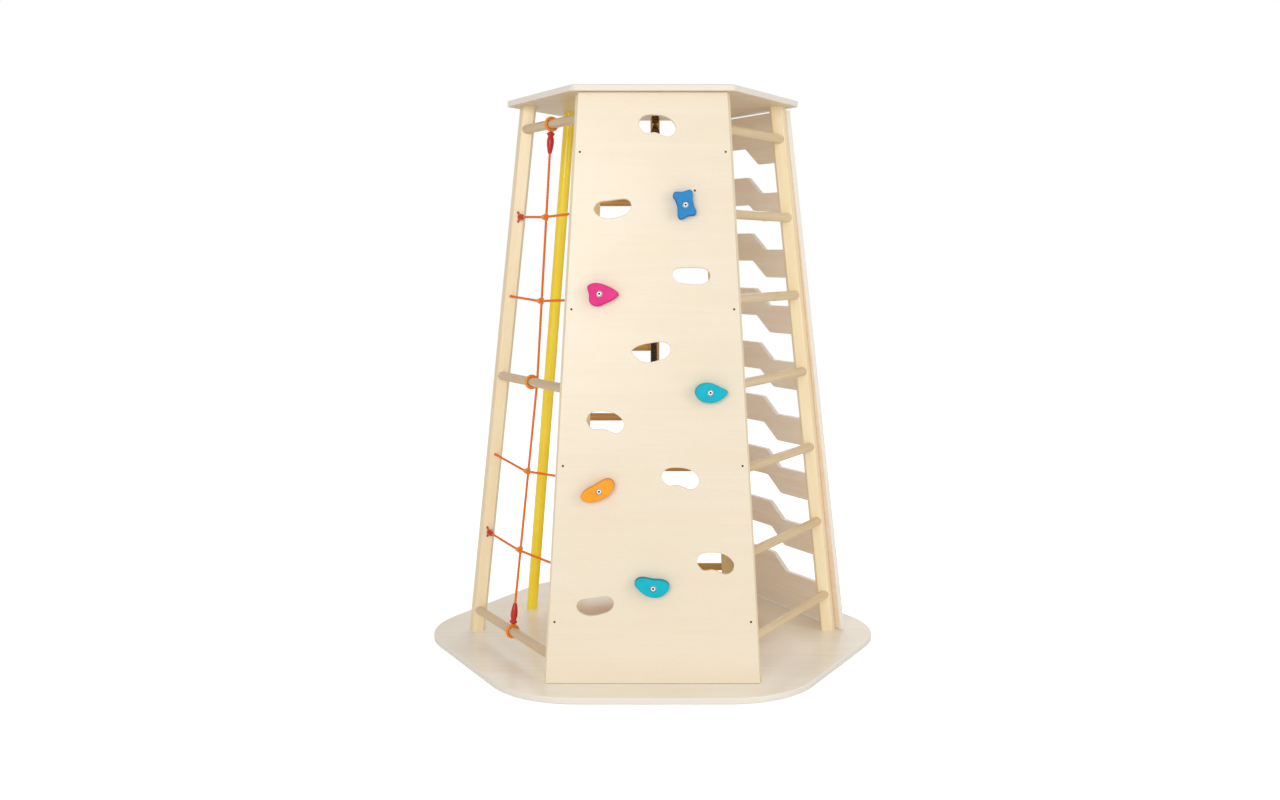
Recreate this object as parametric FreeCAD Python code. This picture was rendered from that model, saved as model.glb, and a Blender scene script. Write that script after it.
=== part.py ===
"""Hexagonal climbing tower for small children, in birch plywood and squared timber.

Six leaning posts stand between a wide base plate and a smaller top plate.  Each of the six faces
offers another way up: a climbing wall, a rung ladder, a board with stepped openings, a two-lane
rung wall, a pole and a rope net.  A climbing rope hangs on a swivel in the middle.

Frame: millimetres, +Z up, origin at the bottom centre of the base plate, climbing wall towards -Y.
Azimuths are measured from +X towards +Y.
"""
import FreeCAD, Part
import math
import os

Vector = FreeCAD.Vector
COS30 = math.cos(math.radians(30))
SIN60 = math.sin(math.radians(60))
TAN30 = math.tan(math.radians(30))
UP = Vector(0, 0, 1)

# ---- overall sizes ----
HEIGHT = 1650.0                 # underside of the top plate above the floor
FOOT_RADIUS = 587.0             # outer edge of a post, at floor level
HEAD_RADIUS = 404.0             # outer edge of a post, under the top plate
BASE_RADIUS = FOOT_RADIUS + 150.0   # base plate, to its sharp corners
BASE_CORNER = 278.0             # rounding of the base plate's corners
BASE_THICKNESS = 18.0
TOP_RADIUS = HEAD_RADIUS + 41.0     # top plate, to its sharp corners
TOP_CORNER = 22.0
TOP_THICKNESS = 18.0
PLATE_EDGE = 4.0                # rounding along the rims of both plates
RISE = HEIGHT / 1650.0          # stretch of the heights below, which belong to a tower of 1650 mm

# ---- posts ----
POST_WIDTH = 45.0
POST_DEPTH = 48.0
POST_EDGE = 2.5
POST_AZIMUTHS = {"right": 0, "back_right": 60, "back_left": 120,
                 "left": 180, "front_left": 240, "front_right": 300}

# ---- faces, named by the azimuth of their outward normal ----
WALL_FACE = 270
LADDER_FACE = 330
STEP_BOARD_FACE = 30
REAR_FACE = 90
POLE_FACE = 150
NET_FACE = 210

# ---- climbing wall ----
WALL_THICKNESS = 15.0
WALL_FOOT_HALF = FOOT_RADIUS / 2 + 6.5  # half width at floor level
WALL_HEAD_HALF = HEAD_RADIUS / 2 + 4.0  # half width at the top plate
WALL_GAP = 1.0                  # above the base plate and below the top plate
WALL_EDGE = 2.0
BEAN = [(-51, 9), (-40, 25), (-8, 30), (23, 25), (44, 10), (51, -5),
        (45, -23), (30, -30), (10, -24), (-9, -18), (-35, -19), (-46, -8)]
LONG_OVAL = [(-52, 5), (-44, 19), (-25, 22), (25, 22), (43, 17), (52, 0),
             (44, -16), (28, -22), (-18, -21), (-38, -16), (-49, -6)]
SLANT_OVAL = [(-51, 4), (-42, 16), (-15, 22), (22, 27), (43, 24), (51, 9),
              (43, -10), (20, -21), (-20, -26), (-40, -18)]
LEAF = [(-53, 6), (-33, 18), (-2, 25), (29, 28), (48, 21), (53, 4),
        (41, -15), (20, -22), (-8, -28), (-28, -24), (-44, -12)]
# Hand holes: place on a wall of 1650 mm, and outline.
HAND_HOLES = [(12.5, 1556, BEAN), (-110.5, 1328, SLANT_OVAL), (106.5, 1144, LONG_OVAL),
              (-4, 934, LEAF), (-131.6, 741, BEAN), (77, 585, BEAN),
              (174.6, 350, BEAN), (-160, 231, SLANT_OVAL)]

# ---- climbing holds: bolt place on the wall, and outline about the bolt ----
HOLD_THICKNESS = 26.0
HOLD_EDGE = 4.0
HOLDS = {
    "blue": (90, 1336, [(-32.5, 20), (-34.5, 28), (-30, 35), (-20, 36), (-4, 37), (8, 41), (15.5, 40.5),
                        (19.5, 34), (19.5, 20), (21.5, 5), (26, -9), (30, -19), (26.5, -26.5), (16, -28.5),
                        (4, -31.5), (-7, -37.5), (-15.5, -38), (-20.5, -31), (-21.5, -18), (-22.5, -3),
                        (-26.5, 9)]),
    "pink": (-147, 1093, [(-30, 24), (-14, 30), (20, 23), (44, 10), (53, -1),
                          (44, -11), (18, -25), (-12, -33), (-27, -23), (-29, 0)]),
    "teal_shell": (159, 822, [(-42, 7), (-32, 21), (-3, 28), (13, 23), (33, 13), (48, 3),
                              (37, -13), (17, -25), (-7, -28), (-28, -21), (-40, -7)]),
    "orange": (-148, 551, [(-51, -12), (-41, 2), (-17, 16), (7, 30), (30, 35), (42, 20),
                           (36, 2), (15, -18), (-17, -29), (-41, -27)]),
    "teal_moon": (1, 284, [(-51, 15), (-43, 27), (-31, 30), (0, 25), (32, 21), (45, 9),
                           (40, -7), (24, -21), (0, -25), (-27, -15), (-43, -1)]),
}
BOLT_RADIUS = 4.0
BOLT_HEAD_RADIUS = 7.0
BOLT_HEAD_HEIGHT = 4.4
BOLT_TIP = 4.0                  # bolt end behind the wall
BOLT_CLEARANCE = 0.2
HEX_WIDTH = 6.0                 # hexagon socket, across flats
HEX_DEPTH = 3.0
RECESS_RADIUS = 9.2             # round recess in a hold for its washer and bolt head
RECESS_DEPTH = 7.0
WASHER_RADIUS = 8.8
WASHER_THICKNESS = 1.6
NUT_FLANGE_RADIUS = 11.0        # tee nut behind the wall
NUT_FLANGE_THICKNESS = 1.6
NUT_BARREL_RADIUS = 5.5
NUT_BARREL_LENGTH = 11.0

# ---- wood screws ----
SCREW_HEAD_RADIUS = 3.0
SCREW_HEAD_HEIGHT = 2.2
SCREW_RADIUS = 1.8
SCREW_BIT = (1.6, 0.7, 1.6)     # tapered recess in a screw's head: radius at its mouth and floor, depth
SCREW_LENGTH = 36.0
SCREW_INSET = 10.0              # from the post's outer edge, along the face
SCREW_CLEARANCE = 0.05
WALL_SCREW_HEIGHTS = [(188 + 432 * k) * RISE for k in range(4)]
CLEAT_SCREW = (116.3, 1378 * RISE, 20.0)    # lone short screw beside the blue hold: place and length
PLATE_SCREW_HEAD_RADIUS = 5.5
PLATE_SCREW_HEAD_HEIGHT = 3.5
PLATE_SCREW_RADIUS = 2.8
PLATE_SCREW_LENGTH = 58.0
PLATE_SCREW_SPACING = 20.0      # between the two screws of a post

# ---- dowels and rungs ----
DOWEL_RADIUS = 13.5
DOWEL_EDGE = 1.0
DOWEL_INSET = 18.0              # of the rung line behind the posts' outer edges, along the radius
SOCKET_DEPTH = 16.0
SOCKET_CLEARANCE = 0.15
LADDER_HEIGHTS = [(134 + 236.5 * k) * RISE for k in range(7)]

# ---- step board ----
BOARD_THICKNESS = 15.0
BOARD_FOOT_HALF = FOOT_RADIUS / 2 + 26.5
BOARD_HEAD_HALF = HEAD_RADIUS / 2 + 2.0
BOARD_FOOT_GAP = 6.0
BOARD_HEAD_GAP = 9.0
BOARD_EDGE = 2.0
STEP_COUNT = 8
STEP_TOP = 1541.0 * RISE        # upper edge of the highest opening, on its high side
STEP_PITCH = 178.3 * RISE
STEP_OPENING = 90.0
STEP_DROP = 53.0
STEP_HIGH_END = 30.0            # the slope runs between these two places across the board
STEP_LOW_END = -38.0
STEP_CORNER = 22.0
STEP_END_INSET = 26.0           # of an opening's ends from the posts' outer edges
BOARD_SCREW_HEIGHTS = [(120 + 365 * k) * RISE for k in range(5)]

# ---- rear face: two lanes of rungs beside a slender upright ----
UPRIGHT_WIDTH = 30.0
UPRIGHT_DEPTH = 40.0
UPRIGHT_OFFSET = -8.0           # across the face, towards its left lane when negative
UPRIGHT_SOCKET = 12.0
LEFT_LANE_HEIGHTS = [(154 + 245 * k) * RISE for k in range(6)]
RIGHT_LANE_HEIGHTS = [(98 + 364 * k) * RISE for k in range(5)]

# ---- pole ----
POLE_RADIUS = 17.5
POLE_FOOT_APOTHEM = FOOT_RADIUS - 116.0
POLE_HEAD_APOTHEM = HEAD_RADIUS - 101.0
POLE_SEAT = 8.0                 # depth of the seats in both plates

# ---- rope net ----
NET_ROPE_RADIUS = 4.0
NET_DOWEL_HEIGHTS = {"top": 1582.0 * RISE, "middle": 830.0 * RISE, "bottom": 83.0}
CLIP_RADIUS = 22.5
CLIP_WIDTH = 10.0
CLIP_EDGE = 3.5
CLIP_LUG_RADIUS = 8.0
CLIP_LUG_LENGTH = 16.0
NET_BEND_RADIUS = 600.0         # of the upright rope, where it passes the middle dowel
CRIMP_PROFILE = [(7.0, 0), (11.5, 5), (8.6, 12), (10.6, 27), (9.2, 42), (6.0, 62)]
SIDE_CRIMP_PROFILE = [(7.5, 0), (9.8, 8), (9.0, 20), (5.6, 30)]
SIDE_CRIMP_GAP = 12.0           # between a side crimp and its post
LEG_SPREAD = 11.0               # of the two rope legs behind a side crimp, at the post
ROPE_SOCKET = 18.0
ROPE_HOLE_CLEARANCE = 0.3
ROPE_CROSSING_GAP = 0.2
CROSS_CLIP_RADIUS = 10.5
CROSS_ROPES = [                 # height at the posts, height at the crossing, crimped at its left end
    (1318 * RISE, 1313 * RISE, True),
    (1077 * RISE, 1068 * RISE, False),
    (585 * RISE, 564 * RISE, False),
    (338 * RISE, 329 * RISE, True),
]

# ---- hanger of the climbing rope ----
HANGER_X = 8.0
BRACKET_RADIUS = 28.0
BRACKET_THICKNESS = 4.0
BRACKET_SCREW_CIRCLE = 20.0
BRACKET_SCREW_LENGTH = 14.0
EAR_THICKNESS = 3.0
EAR_RADIUS = 8.0
PIN_RADIUS = 3.0
PIN_HEAD_RADIUS = 4.8
PIN_HEAD_HEIGHT = 1.5
PIN_CLEARANCE = 0.05
SWAY_PIN_DROP = 14.0            # sway pin below the top plate
SWING_PIN_DROP = 32.0           # swing pin below the top plate
LINK_HALF = 6.2
LINK_GAP = 0.3
CHEEK_THICKNESS = 3.2
CHEEK_RADIUS = 7.0
SWIVEL_FLOOR = 8.5              # thickness of the swivel block's floor
SWIVEL_FLOOR_GAP = 1.3
NECK_RADIUS = 4.0
NECK_HEAD_RADIUS = 6.0
NECK_HEAD_HEIGHT = 3.0
NECK_LENGTH = 4.0               # visible neck between the swivel block and the cup
CUP_RADIUS = 14.0
CUP_LENGTH = 52.0
CUP_SHOULDER = 26.0
CUP_CEILING = 12.0

# ---- climbing rope ----
ROPE_RADIUS = 10.0
ROPE_FIT = 0.1
# Bends below the cup: offset in X and Y from the hanger, and height, then the same for the end.
ROPE_BENDS = [(0, 0, 1440 * RISE), (-2.2, 2.0, 1240 * RISE), (-4.6, -1.0, 1010 * RISE),
              (-3.4, -3.6, 780 * RISE), (0.8, 0.6, 560 * RISE), (-1.4, 2.6, 370 * RISE)]
ROPE_END = (-1.4, 2.6, 262 * RISE)
ROPE_BEND_SHARE = 0.45          # of the shorter run beside a bend
END_KNOT_PROFILE = [(12, 0), (23, -10), (27, -26), (24, -42), (13, -54), (10, -58)]
END_KNOT_TAIL = 34.0


# ---------------------------------------------------------------- geometry helpers
def polar(radius, azimuth, z=0.0):
    angle = math.radians(azimuth)
    return Vector(radius * math.cos(angle), radius * math.sin(angle), z)


def post_radius(z):
    """Distance of a post's outer edge from the tower's axis at height z."""
    return FOOT_RADIUS + (HEAD_RADIUS - FOOT_RADIUS) * z / HEIGHT


def rung_point(face, z, across=0.0, inward=0.0):
    """Point on the line of a rung at height z, moved along the face and towards the axis."""
    apothem = (post_radius(z) - DOWEL_INSET) * COS30
    return polar(apothem - inward, face, z) + polar(across, face + 90)


def clear_half(z):
    """Half of the clear width between two posts, along the line of a rung."""
    return (post_radius(z) - DOWEL_INSET) / 2 - POST_WIDTH / 2 / SIN60


LEAN = math.atan2((FOOT_RADIUS - HEAD_RADIUS) * COS30, HEIGHT)


def slope(z):
    """Distance up a leaning face that belongs to height z."""
    return z / math.cos(LEAN)


def face_frame(face):
    """Placement on a leaning face: X along the face, Y up its slope, Z outwards."""
    out = polar(1, face)
    across = polar(1, face + 90)
    rise = UP * math.cos(LEAN) - out * math.sin(LEAN)
    normal = out * math.cos(LEAN) + UP * math.sin(LEAN)
    origin = polar(FOOT_RADIUS * COS30, face)
    return FreeCAD.Placement(FreeCAD.Matrix(
        across.x, rise.x, normal.x, origin.x,
        across.y, rise.y, normal.y, origin.y,
        across.z, rise.z, normal.z, origin.z,
        0, 0, 0, 1))


def on_face(face, across, z, out=0.0):
    return face_frame(face).multVec(Vector(across, slope(z), out))


def face_normal(face):
    return face_frame(face).Rotation.multVec(UP)


def placed(shape, placement):
    moved = shape.copy()
    moved.Placement = placement.multiply(moved.Placement)
    return moved


def rounded_polygon(points, radius):
    """Closed wire through the points, each corner rounded to the radius."""
    corners = []
    for index, point in enumerate(points):
        before = (points[index - 1] - point).normalize()
        after = (points[(index + 1) % len(points)] - point).normalize()
        half = before.getAngle(after) / 2
        middle = (before + after).normalize()
        setback = radius / math.tan(half)
        nearest = point + middle * (radius / math.sin(half) - radius)
        corners.append((point + before * setback, nearest, point + after * setback))
    edges = []
    for index, (start, nearest, end) in enumerate(corners):
        edges.append(Part.Arc(start, nearest, end).toShape())
        edges.append(Part.makeLine(end, corners[(index + 1) % len(corners)][0]))
    return Part.Wire(edges)


def smooth_outline(points, x=0.0, y=0.0):
    """Closed smooth curve through the points, in the XY plane, with an edge for each span."""
    curve = Part.BSplineCurve()
    curve.interpolate(Points=[Vector(x + px, y + py, 0) for px, py in points], PeriodicFlag=True)
    knots = curve.getKnots()
    return Part.Wire([curve.toShape(start, end) for start, end in zip(knots, knots[1:])])


def prism(wire, start, length):
    """Straight solid on a wire in the XY plane, from height start."""
    solid = Part.Face(wire).extrude(UP * length)
    solid.translate(UP * start)
    return solid


def flat_edges(solid, *levels):
    """Edges that lie level at one of the given heights."""
    found = []
    for edge in solid.Edges:
        box = edge.BoundBox
        if box.ZLength < 0.01 and any(abs(box.ZMin - level) < 0.01 for level in levels):
            found.append(edge)
    return found


def rod(start, end, radius):
    return Part.makeCylinder(radius, (end - start).Length, start, end - start)


def turned(profile, start, direction):
    """Solid of revolution: (radius, distance) pairs along a direction from start."""
    points = [Vector(0, 0, profile[0][1])]
    points += [Vector(radius, 0, distance) for radius, distance in profile]
    points.append(Vector(0, 0, profile[-1][1]))
    wire = Part.makePolygon(points + points[:1])
    solid = Part.Face(wire).revolve(Vector(), UP, 360)
    if solid.Volume < 0:
        solid.reverse()
    turn = FreeCAD.Rotation(UP, direction)
    return placed(solid, FreeCAD.Placement(start, turn))


def cord(points, radius, bend_radius=None):
    """Round cord along straight runs joined by tangent arcs; prints each arc's radius."""
    edges = []
    here = points[0]
    for before, point, after in zip(points, points[1:], points[2:]):
        back = before - point
        ahead = after - point
        half_turn = (math.pi - back.getAngle(ahead)) / 2
        setback = ROPE_BEND_SHARE * min(back.Length, ahead.Length)
        if bend_radius is not None:
            setback = bend_radius * math.tan(half_turn)
        arc_radius = setback / math.tan(half_turn)
        back.normalize()
        ahead.normalize()
        middle = (back + ahead).normalize()
        nearest = point + middle * (arc_radius / math.cos(half_turn) - arc_radius)
        start = point + back * setback
        end = point + ahead * setback
        edges.append(Part.makeLine(here, start))
        edges.append(Part.Arc(start, nearest, end).toShape())
        here = end
        print("cord bend: radius %.0f mm" % arc_radius)
    edges.append(Part.makeLine(here, points[-1]))
    path = Part.Wire(edges)
    ring = Part.Wire([Part.makeCircle(radius, points[0], points[1] - points[0])])
    tube = path.makePipeShell([ring], True, False)
    expected = math.pi * radius ** 2 * path.Length
    print("cord: length %.0f mm, volume over section x length %.4f" % (path.Length, tube.Volume / expected))
    return tube


def seated(blank, pieces):
    """The blank with room cut for every piece that reaches into it."""
    near = [piece for piece in pieces if piece.BoundBox.intersect(blank.BoundBox)]
    return blank.cut(near) if near else blank


def hexagon_socket(start, direction, depth):
    corners = [polar(HEX_WIDTH / 2 / COS30, 60 * k) for k in range(6)]
    solid = prism(Part.makePolygon(corners + corners[:1]), 0, depth)
    return placed(solid, FreeCAD.Placement(start, FreeCAD.Rotation(UP, direction)))


# ---------------------------------------------------------------- fasteners
def wood_screw(head, direction, length, grow=0.0):
    """Countersunk screw from the centre of its head, or the room for it when it grows."""
    profile = [(SCREW_HEAD_RADIUS + grow, 0), (SCREW_RADIUS + grow, SCREW_HEAD_HEIGHT),
               (SCREW_RADIUS + grow, length + grow)]
    screw = turned(profile, head, direction)
    if grow == 0:
        mouth, floor, depth = SCREW_BIT
        screw = screw.cut(turned([(mouth, 0), (floor, depth)], head, direction))
    return screw


def plate_screw(head, direction, grow=0.0):
    profile = [(PLATE_SCREW_HEAD_RADIUS + grow, 0), (PLATE_SCREW_RADIUS + grow, PLATE_SCREW_HEAD_HEIGHT),
               (PLATE_SCREW_RADIUS + grow, PLATE_SCREW_LENGTH + grow)]
    screw = turned(profile, head, direction)
    if grow == 0:
        screw = screw.cut(hexagon_socket(head, direction, PLATE_SCREW_HEAD_HEIGHT / 2))
    return screw


def screw_row(face, heights, thickness, grow=0.0):
    """Screws down both sides of a board, through it into the posts."""
    screws = []
    for z in heights:
        for side in (-1, 1):
            across = side * (post_radius(z) / 2 - SCREW_INSET)
            head = on_face(face, across, z, thickness)
            screws.append(wood_screw(head, face_normal(face) * -1, SCREW_LENGTH, grow))
    return screws


def cleat_screw(grow=0.0):
    across, z, length = CLEAT_SCREW
    head = on_face(WALL_FACE, across, z, WALL_THICKNESS)
    return wood_screw(head, face_normal(WALL_FACE) * -1, length, grow)


def plate_screws(level, direction, grow=0.0):
    """Two screws for each post and one each for the rear upright and the pole."""
    screws = []
    at = BASE_THICKNESS if direction > 0 else HEIGHT
    for azimuth in POST_AZIMUTHS.values():
        for side in (-1, 1):
            head = polar(post_radius(at) - POST_DEPTH * 0.55, azimuth, level)
            head += polar(side * PLATE_SCREW_SPACING / 2, azimuth + 90)
            screws.append(plate_screw(head, UP * direction, grow))
    upright = polar(post_radius(at) * COS30 - UPRIGHT_DEPTH / 2, REAR_FACE, level)
    upright += polar(UPRIGHT_OFFSET, REAR_FACE + 90)
    pole = polar(pole_apothem(at), POLE_FACE, level)
    screws.append(plate_screw(upright, UP * direction, grow))
    screws.append(plate_screw(pole, UP * direction, grow))
    return screws


# ---------------------------------------------------------------- frame
def plate(radius, corner, level, thickness):
    corners = [polar(radius, 60 * k) for k in range(6)]
    solid = prism(rounded_polygon(corners, corner), level, thickness)
    return solid.makeFillet(PLATE_EDGE, flat_edges(solid, level, level + thickness))


def leaning_bar(section, azimuth, radius_at):
    """Bar between the plates: (inward, across) section points, leaning with the radius."""
    foot = BASE_THICKNESS
    points = [polar(radius_at(foot) - inward, azimuth, foot) + polar(across, azimuth + 90)
              for inward, across in section]
    travel = polar(radius_at(HEIGHT) - radius_at(foot), azimuth, HEIGHT - foot)
    bar = Part.Face(Part.makePolygon(points + points[:1])).extrude(travel)
    long_edges = [edge for edge in bar.Edges if edge.BoundBox.ZLength > HEIGHT / 2]
    return bar.makeFillet(POST_EDGE, long_edges)


def post(azimuth):
    half = POST_WIDTH / 2
    bevel = half * TAN30
    section = [(0, 0), (bevel, half), (POST_DEPTH, half), (POST_DEPTH, -half), (bevel, -half)]
    return leaning_bar(section, azimuth, post_radius)


def rear_upright():
    left = UPRIGHT_OFFSET + UPRIGHT_WIDTH / 2
    right = UPRIGHT_OFFSET - UPRIGHT_WIDTH / 2
    section = [(0, left), (UPRIGHT_DEPTH, left), (UPRIGHT_DEPTH, right), (0, right)]
    return leaning_bar(section, REAR_FACE, lambda z: post_radius(z) * COS30)


# ---------------------------------------------------------------- boards on the faces
def tapered_board(face, foot_half, head_half, thickness, openings, edge, foot_gap, head_gap):
    """Board on two posts, cut level at its foot and head, with rounded long edges and openings."""
    margin = 40.0
    outline = []
    for z, side in ((-margin, 1), (HEIGHT + margin, 1), (HEIGHT + margin, -1), (-margin, -1)):
        half = foot_half + (head_half - foot_half) * z / HEIGHT
        outline.append(Vector(side * half, slope(z), 0))
    board = prism(Part.makePolygon(outline + outline[:1]), 0, thickness)
    board = board.cut([prism(wire, -1, thickness + 2) for wire in openings])
    ends = (slope(-margin), slope(HEIGHT + margin))
    rims = [rim for rim in flat_edges(board, 0, thickness)
            if all(abs(rim.CenterOfMass.y - end) > 1 for end in ends)]
    board = placed(board.makeFillet(edge, rims), face_frame(face))
    reach = BASE_RADIUS * 2
    slab = Part.makeBox(reach, reach, HEIGHT - head_gap - BASE_THICKNESS - foot_gap,
                        Vector(-reach / 2, -reach / 2, BASE_THICKNESS + foot_gap))
    return board.common(slab)


def climbing_wall():
    holes = [smooth_outline(outline, x, slope(z * RISE)) for x, z, outline in HAND_HOLES]
    return tapered_board(WALL_FACE, WALL_FOOT_HALF, WALL_HEAD_HALF, WALL_THICKNESS,
                         holes, WALL_EDGE, WALL_GAP, WALL_GAP)


def step_opening(top):
    """Stepped opening across the step board: high on one side of a slope, low on the other."""
    half = post_radius(top) / 2 - STEP_END_INSET
    bottom = top - STEP_OPENING
    corners = [(half, top), (STEP_HIGH_END, top), (STEP_LOW_END, top - STEP_DROP),
               (-half, top - STEP_DROP), (-half, bottom - STEP_DROP),
               (STEP_LOW_END, bottom - STEP_DROP), (STEP_HIGH_END, bottom), (half, bottom)]
    return rounded_polygon([Vector(x, slope(z), 0) for x, z in corners], STEP_CORNER)


def step_board():
    openings = [step_opening(STEP_TOP - STEP_PITCH * k) for k in range(STEP_COUNT)]
    return tapered_board(STEP_BOARD_FACE, BOARD_FOOT_HALF, BOARD_HEAD_HALF, BOARD_THICKNESS,
                         openings, BOARD_EDGE, BOARD_FOOT_GAP, BOARD_HEAD_GAP)


# ---------------------------------------------------------------- climbing holds
def hold(outline):
    """Hold about its bolt, its back at Z = 0 and its front rim rounded."""
    solid = prism(smooth_outline(outline), 0, HOLD_THICKNESS)
    solid = solid.makeFillet(HOLD_EDGE, flat_edges(solid, HOLD_THICKNESS))
    recess = Part.makeCylinder(RECESS_RADIUS, RECESS_DEPTH, Vector(0, 0, HOLD_THICKNESS - RECESS_DEPTH))
    hole = Part.makeCylinder(BOLT_RADIUS + BOLT_CLEARANCE, HOLD_THICKNESS)
    return solid.cut([recess, hole])


def hold_washer():
    floor = Vector(0, 0, HOLD_THICKNESS - RECESS_DEPTH)
    disc = Part.makeCylinder(WASHER_RADIUS, WASHER_THICKNESS, floor)
    return disc.cut(Part.makeCylinder(BOLT_RADIUS + BOLT_CLEARANCE, WASHER_THICKNESS, floor))


def hold_bolt():
    seat = HOLD_THICKNESS - RECESS_DEPTH + WASHER_THICKNESS
    tip = -WALL_THICKNESS - BOLT_TIP
    head_top = seat + BOLT_HEAD_HEIGHT
    shank = Part.makeCylinder(BOLT_RADIUS, seat - tip, Vector(0, 0, tip))
    head = Part.makeCylinder(BOLT_HEAD_RADIUS, BOLT_HEAD_HEIGHT, Vector(0, 0, seat))
    head = head.makeFillet(BOLT_HEAD_HEIGHT / 2, flat_edges(head, head_top))
    return shank.fuse(head).removeSplitter().cut(hexagon_socket(Vector(0, 0, head_top), UP * -1, HEX_DEPTH))


def tee_nut():
    back = -WALL_THICKNESS
    low = Vector(0, 0, back - NUT_FLANGE_THICKNESS)
    flange = Part.makeCylinder(NUT_FLANGE_RADIUS, NUT_FLANGE_THICKNESS, low)
    barrel = Part.makeCylinder(NUT_BARREL_RADIUS, NUT_BARREL_LENGTH, Vector(0, 0, back))
    bore = Part.makeCylinder(BOLT_RADIUS + BOLT_CLEARANCE, HOLD_THICKNESS, low)
    return flange.fuse(barrel).removeSplitter().cut(bore)


def bolt_room():
    """Hole through the wall for one hold's bolt and tee nut."""
    bolt = Part.makeCylinder(BOLT_RADIUS + BOLT_CLEARANCE, WALL_THICKNESS, Vector(0, 0, -WALL_THICKNESS))
    barrel = Part.makeCylinder(NUT_BARREL_RADIUS + SCREW_CLEARANCE, NUT_BARREL_LENGTH,
                               Vector(0, 0, -WALL_THICKNESS))
    return bolt.fuse(barrel)


def on_wall(shape, x, z):
    """Shape that was made about a hold's bolt, moved to its place on the wall's front."""
    local = placed(shape, FreeCAD.Placement(Vector(x, slope(z * RISE), WALL_THICKNESS), FreeCAD.Rotation()))
    return placed(local, face_frame(WALL_FACE))


# ---------------------------------------------------------------- rungs and pole
def dowel(start, end, grow=0.0):
    solid = rod(start, end, DOWEL_RADIUS + grow)
    if grow > 0:
        return solid
    ends = [edge for edge in solid.Edges if abs(edge.Length - 2 * math.pi * DOWEL_RADIUS) < 0.01]
    return solid.makeChamfer(DOWEL_EDGE, ends)


def full_rung(face, z, grow=0.0):
    """Rung from post to post, its ends in blind sockets."""
    half = clear_half(z) + SOCKET_DEPTH
    return dowel(rung_point(face, z, -half), rung_point(face, z, half), grow)


def lane_rung(z, side, grow=0.0):
    """Rung from a rear post (side -1 right, +1 left) to the rear upright."""
    outer = side * (clear_half(z) + SOCKET_DEPTH)
    inner = UPRIGHT_OFFSET + side * (UPRIGHT_WIDTH / 2 - UPRIGHT_SOCKET)
    return dowel(rung_point(REAR_FACE, z, outer), rung_point(REAR_FACE, z, inner), grow)


def pole_apothem(z):
    return POLE_FOOT_APOTHEM + (POLE_HEAD_APOTHEM - POLE_FOOT_APOTHEM) * (z - BASE_THICKNESS) / (
        HEIGHT - BASE_THICKNESS)


def pole(grow=0.0):
    foot = BASE_THICKNESS - POLE_SEAT
    head = HEIGHT + POLE_SEAT
    spare = 4 * POLE_RADIUS
    bar = rod(polar(pole_apothem(foot - spare), POLE_FACE, foot - spare),
              polar(pole_apothem(head + spare), POLE_FACE, head + spare), POLE_RADIUS + grow)
    reach = BASE_RADIUS * 2
    slab = Part.makeBox(reach, reach, head - foot, Vector(-reach / 2, -reach / 2, foot))
    return bar.common(slab)


# ---------------------------------------------------------------- rope net
def upright_offset(z):
    """Distance of the net's upright rope behind the rung line: none at its ends, clear at the middle."""
    middle = NET_DOWEL_HEIGHTS["middle"]
    end = NET_DOWEL_HEIGHTS["top"] - CLIP_RADIUS if z > middle else NET_DOWEL_HEIGHTS["bottom"] + CLIP_RADIUS
    clear = DOWEL_RADIUS + NET_ROPE_RADIUS + ROPE_HOLE_CLEARANCE
    return clear * (end - z) / (end - middle)


def net_upright_rope():
    top = NET_DOWEL_HEIGHTS["top"] - CLIP_RADIUS
    bottom = NET_DOWEL_HEIGHTS["bottom"] + CLIP_RADIUS
    middle = NET_DOWEL_HEIGHTS["middle"]
    points = [rung_point(NET_FACE, z, 0, upright_offset(z)) for z in (top, middle, bottom)]
    return cord(points, NET_ROPE_RADIUS, NET_BEND_RADIUS)


def crossing(z):
    """Centre of a crossing's cross rope, just outside the upright rope."""
    gap = 2 * NET_ROPE_RADIUS + ROPE_CROSSING_GAP
    return rung_point(NET_FACE, z, 0, upright_offset(z) - gap)


def crimp_station(z, distance):
    """Point on a crimped cross rope, at a distance from its left post."""
    return rung_point(NET_FACE, z, clear_half(z) * -1 + distance)


def cross_rope(post_z, middle_z, crimped, grow=0.0):
    radius = NET_ROPE_RADIUS + grow
    middle = crossing(middle_z)
    far = clear_half(post_z) + ROPE_SOCKET
    right = rung_point(NET_FACE, post_z, far)
    if crimped:
        fork = crimp_station(post_z, SIDE_CRIMP_GAP)
        spread = UP * (LEG_SPREAD * (ROPE_SOCKET + SIDE_CRIMP_GAP) / SIDE_CRIMP_GAP)
        ends = [rung_point(NET_FACE, post_z, -far) + spread, rung_point(NET_FACE, post_z, -far) - spread]
        ends = [fork + (end - fork) * 0.8 for end in ends]
    else:
        fork = rung_point(NET_FACE, post_z, -far)
        ends = []
    pieces = [rod(middle, right, radius), Part.makeSphere(radius, middle), rod(fork, middle, radius)]
    pieces += [rod(fork, end, radius) for end in ends]
    if crimped:
        pieces.append(Part.makeSphere(radius, fork))
    return pieces[0].multiFuse(pieces[1:]).removeSplitter()


def net_clip(z):
    """Ring clip round a net dowel, at the middle of the face."""
    half = CLIP_WIDTH / 2
    start = rung_point(NET_FACE, z, -half)
    end = rung_point(NET_FACE, z, half)
    ring = rod(start, end, CLIP_RADIUS)
    rims = [edge for edge in ring.Edges if abs(edge.Length - 2 * math.pi * CLIP_RADIUS) < 0.01]
    ring = ring.makeFillet(CLIP_EDGE, rims)
    return ring.cut(rod(start, end, DOWEL_RADIUS + SOCKET_CLEARANCE))


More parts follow.
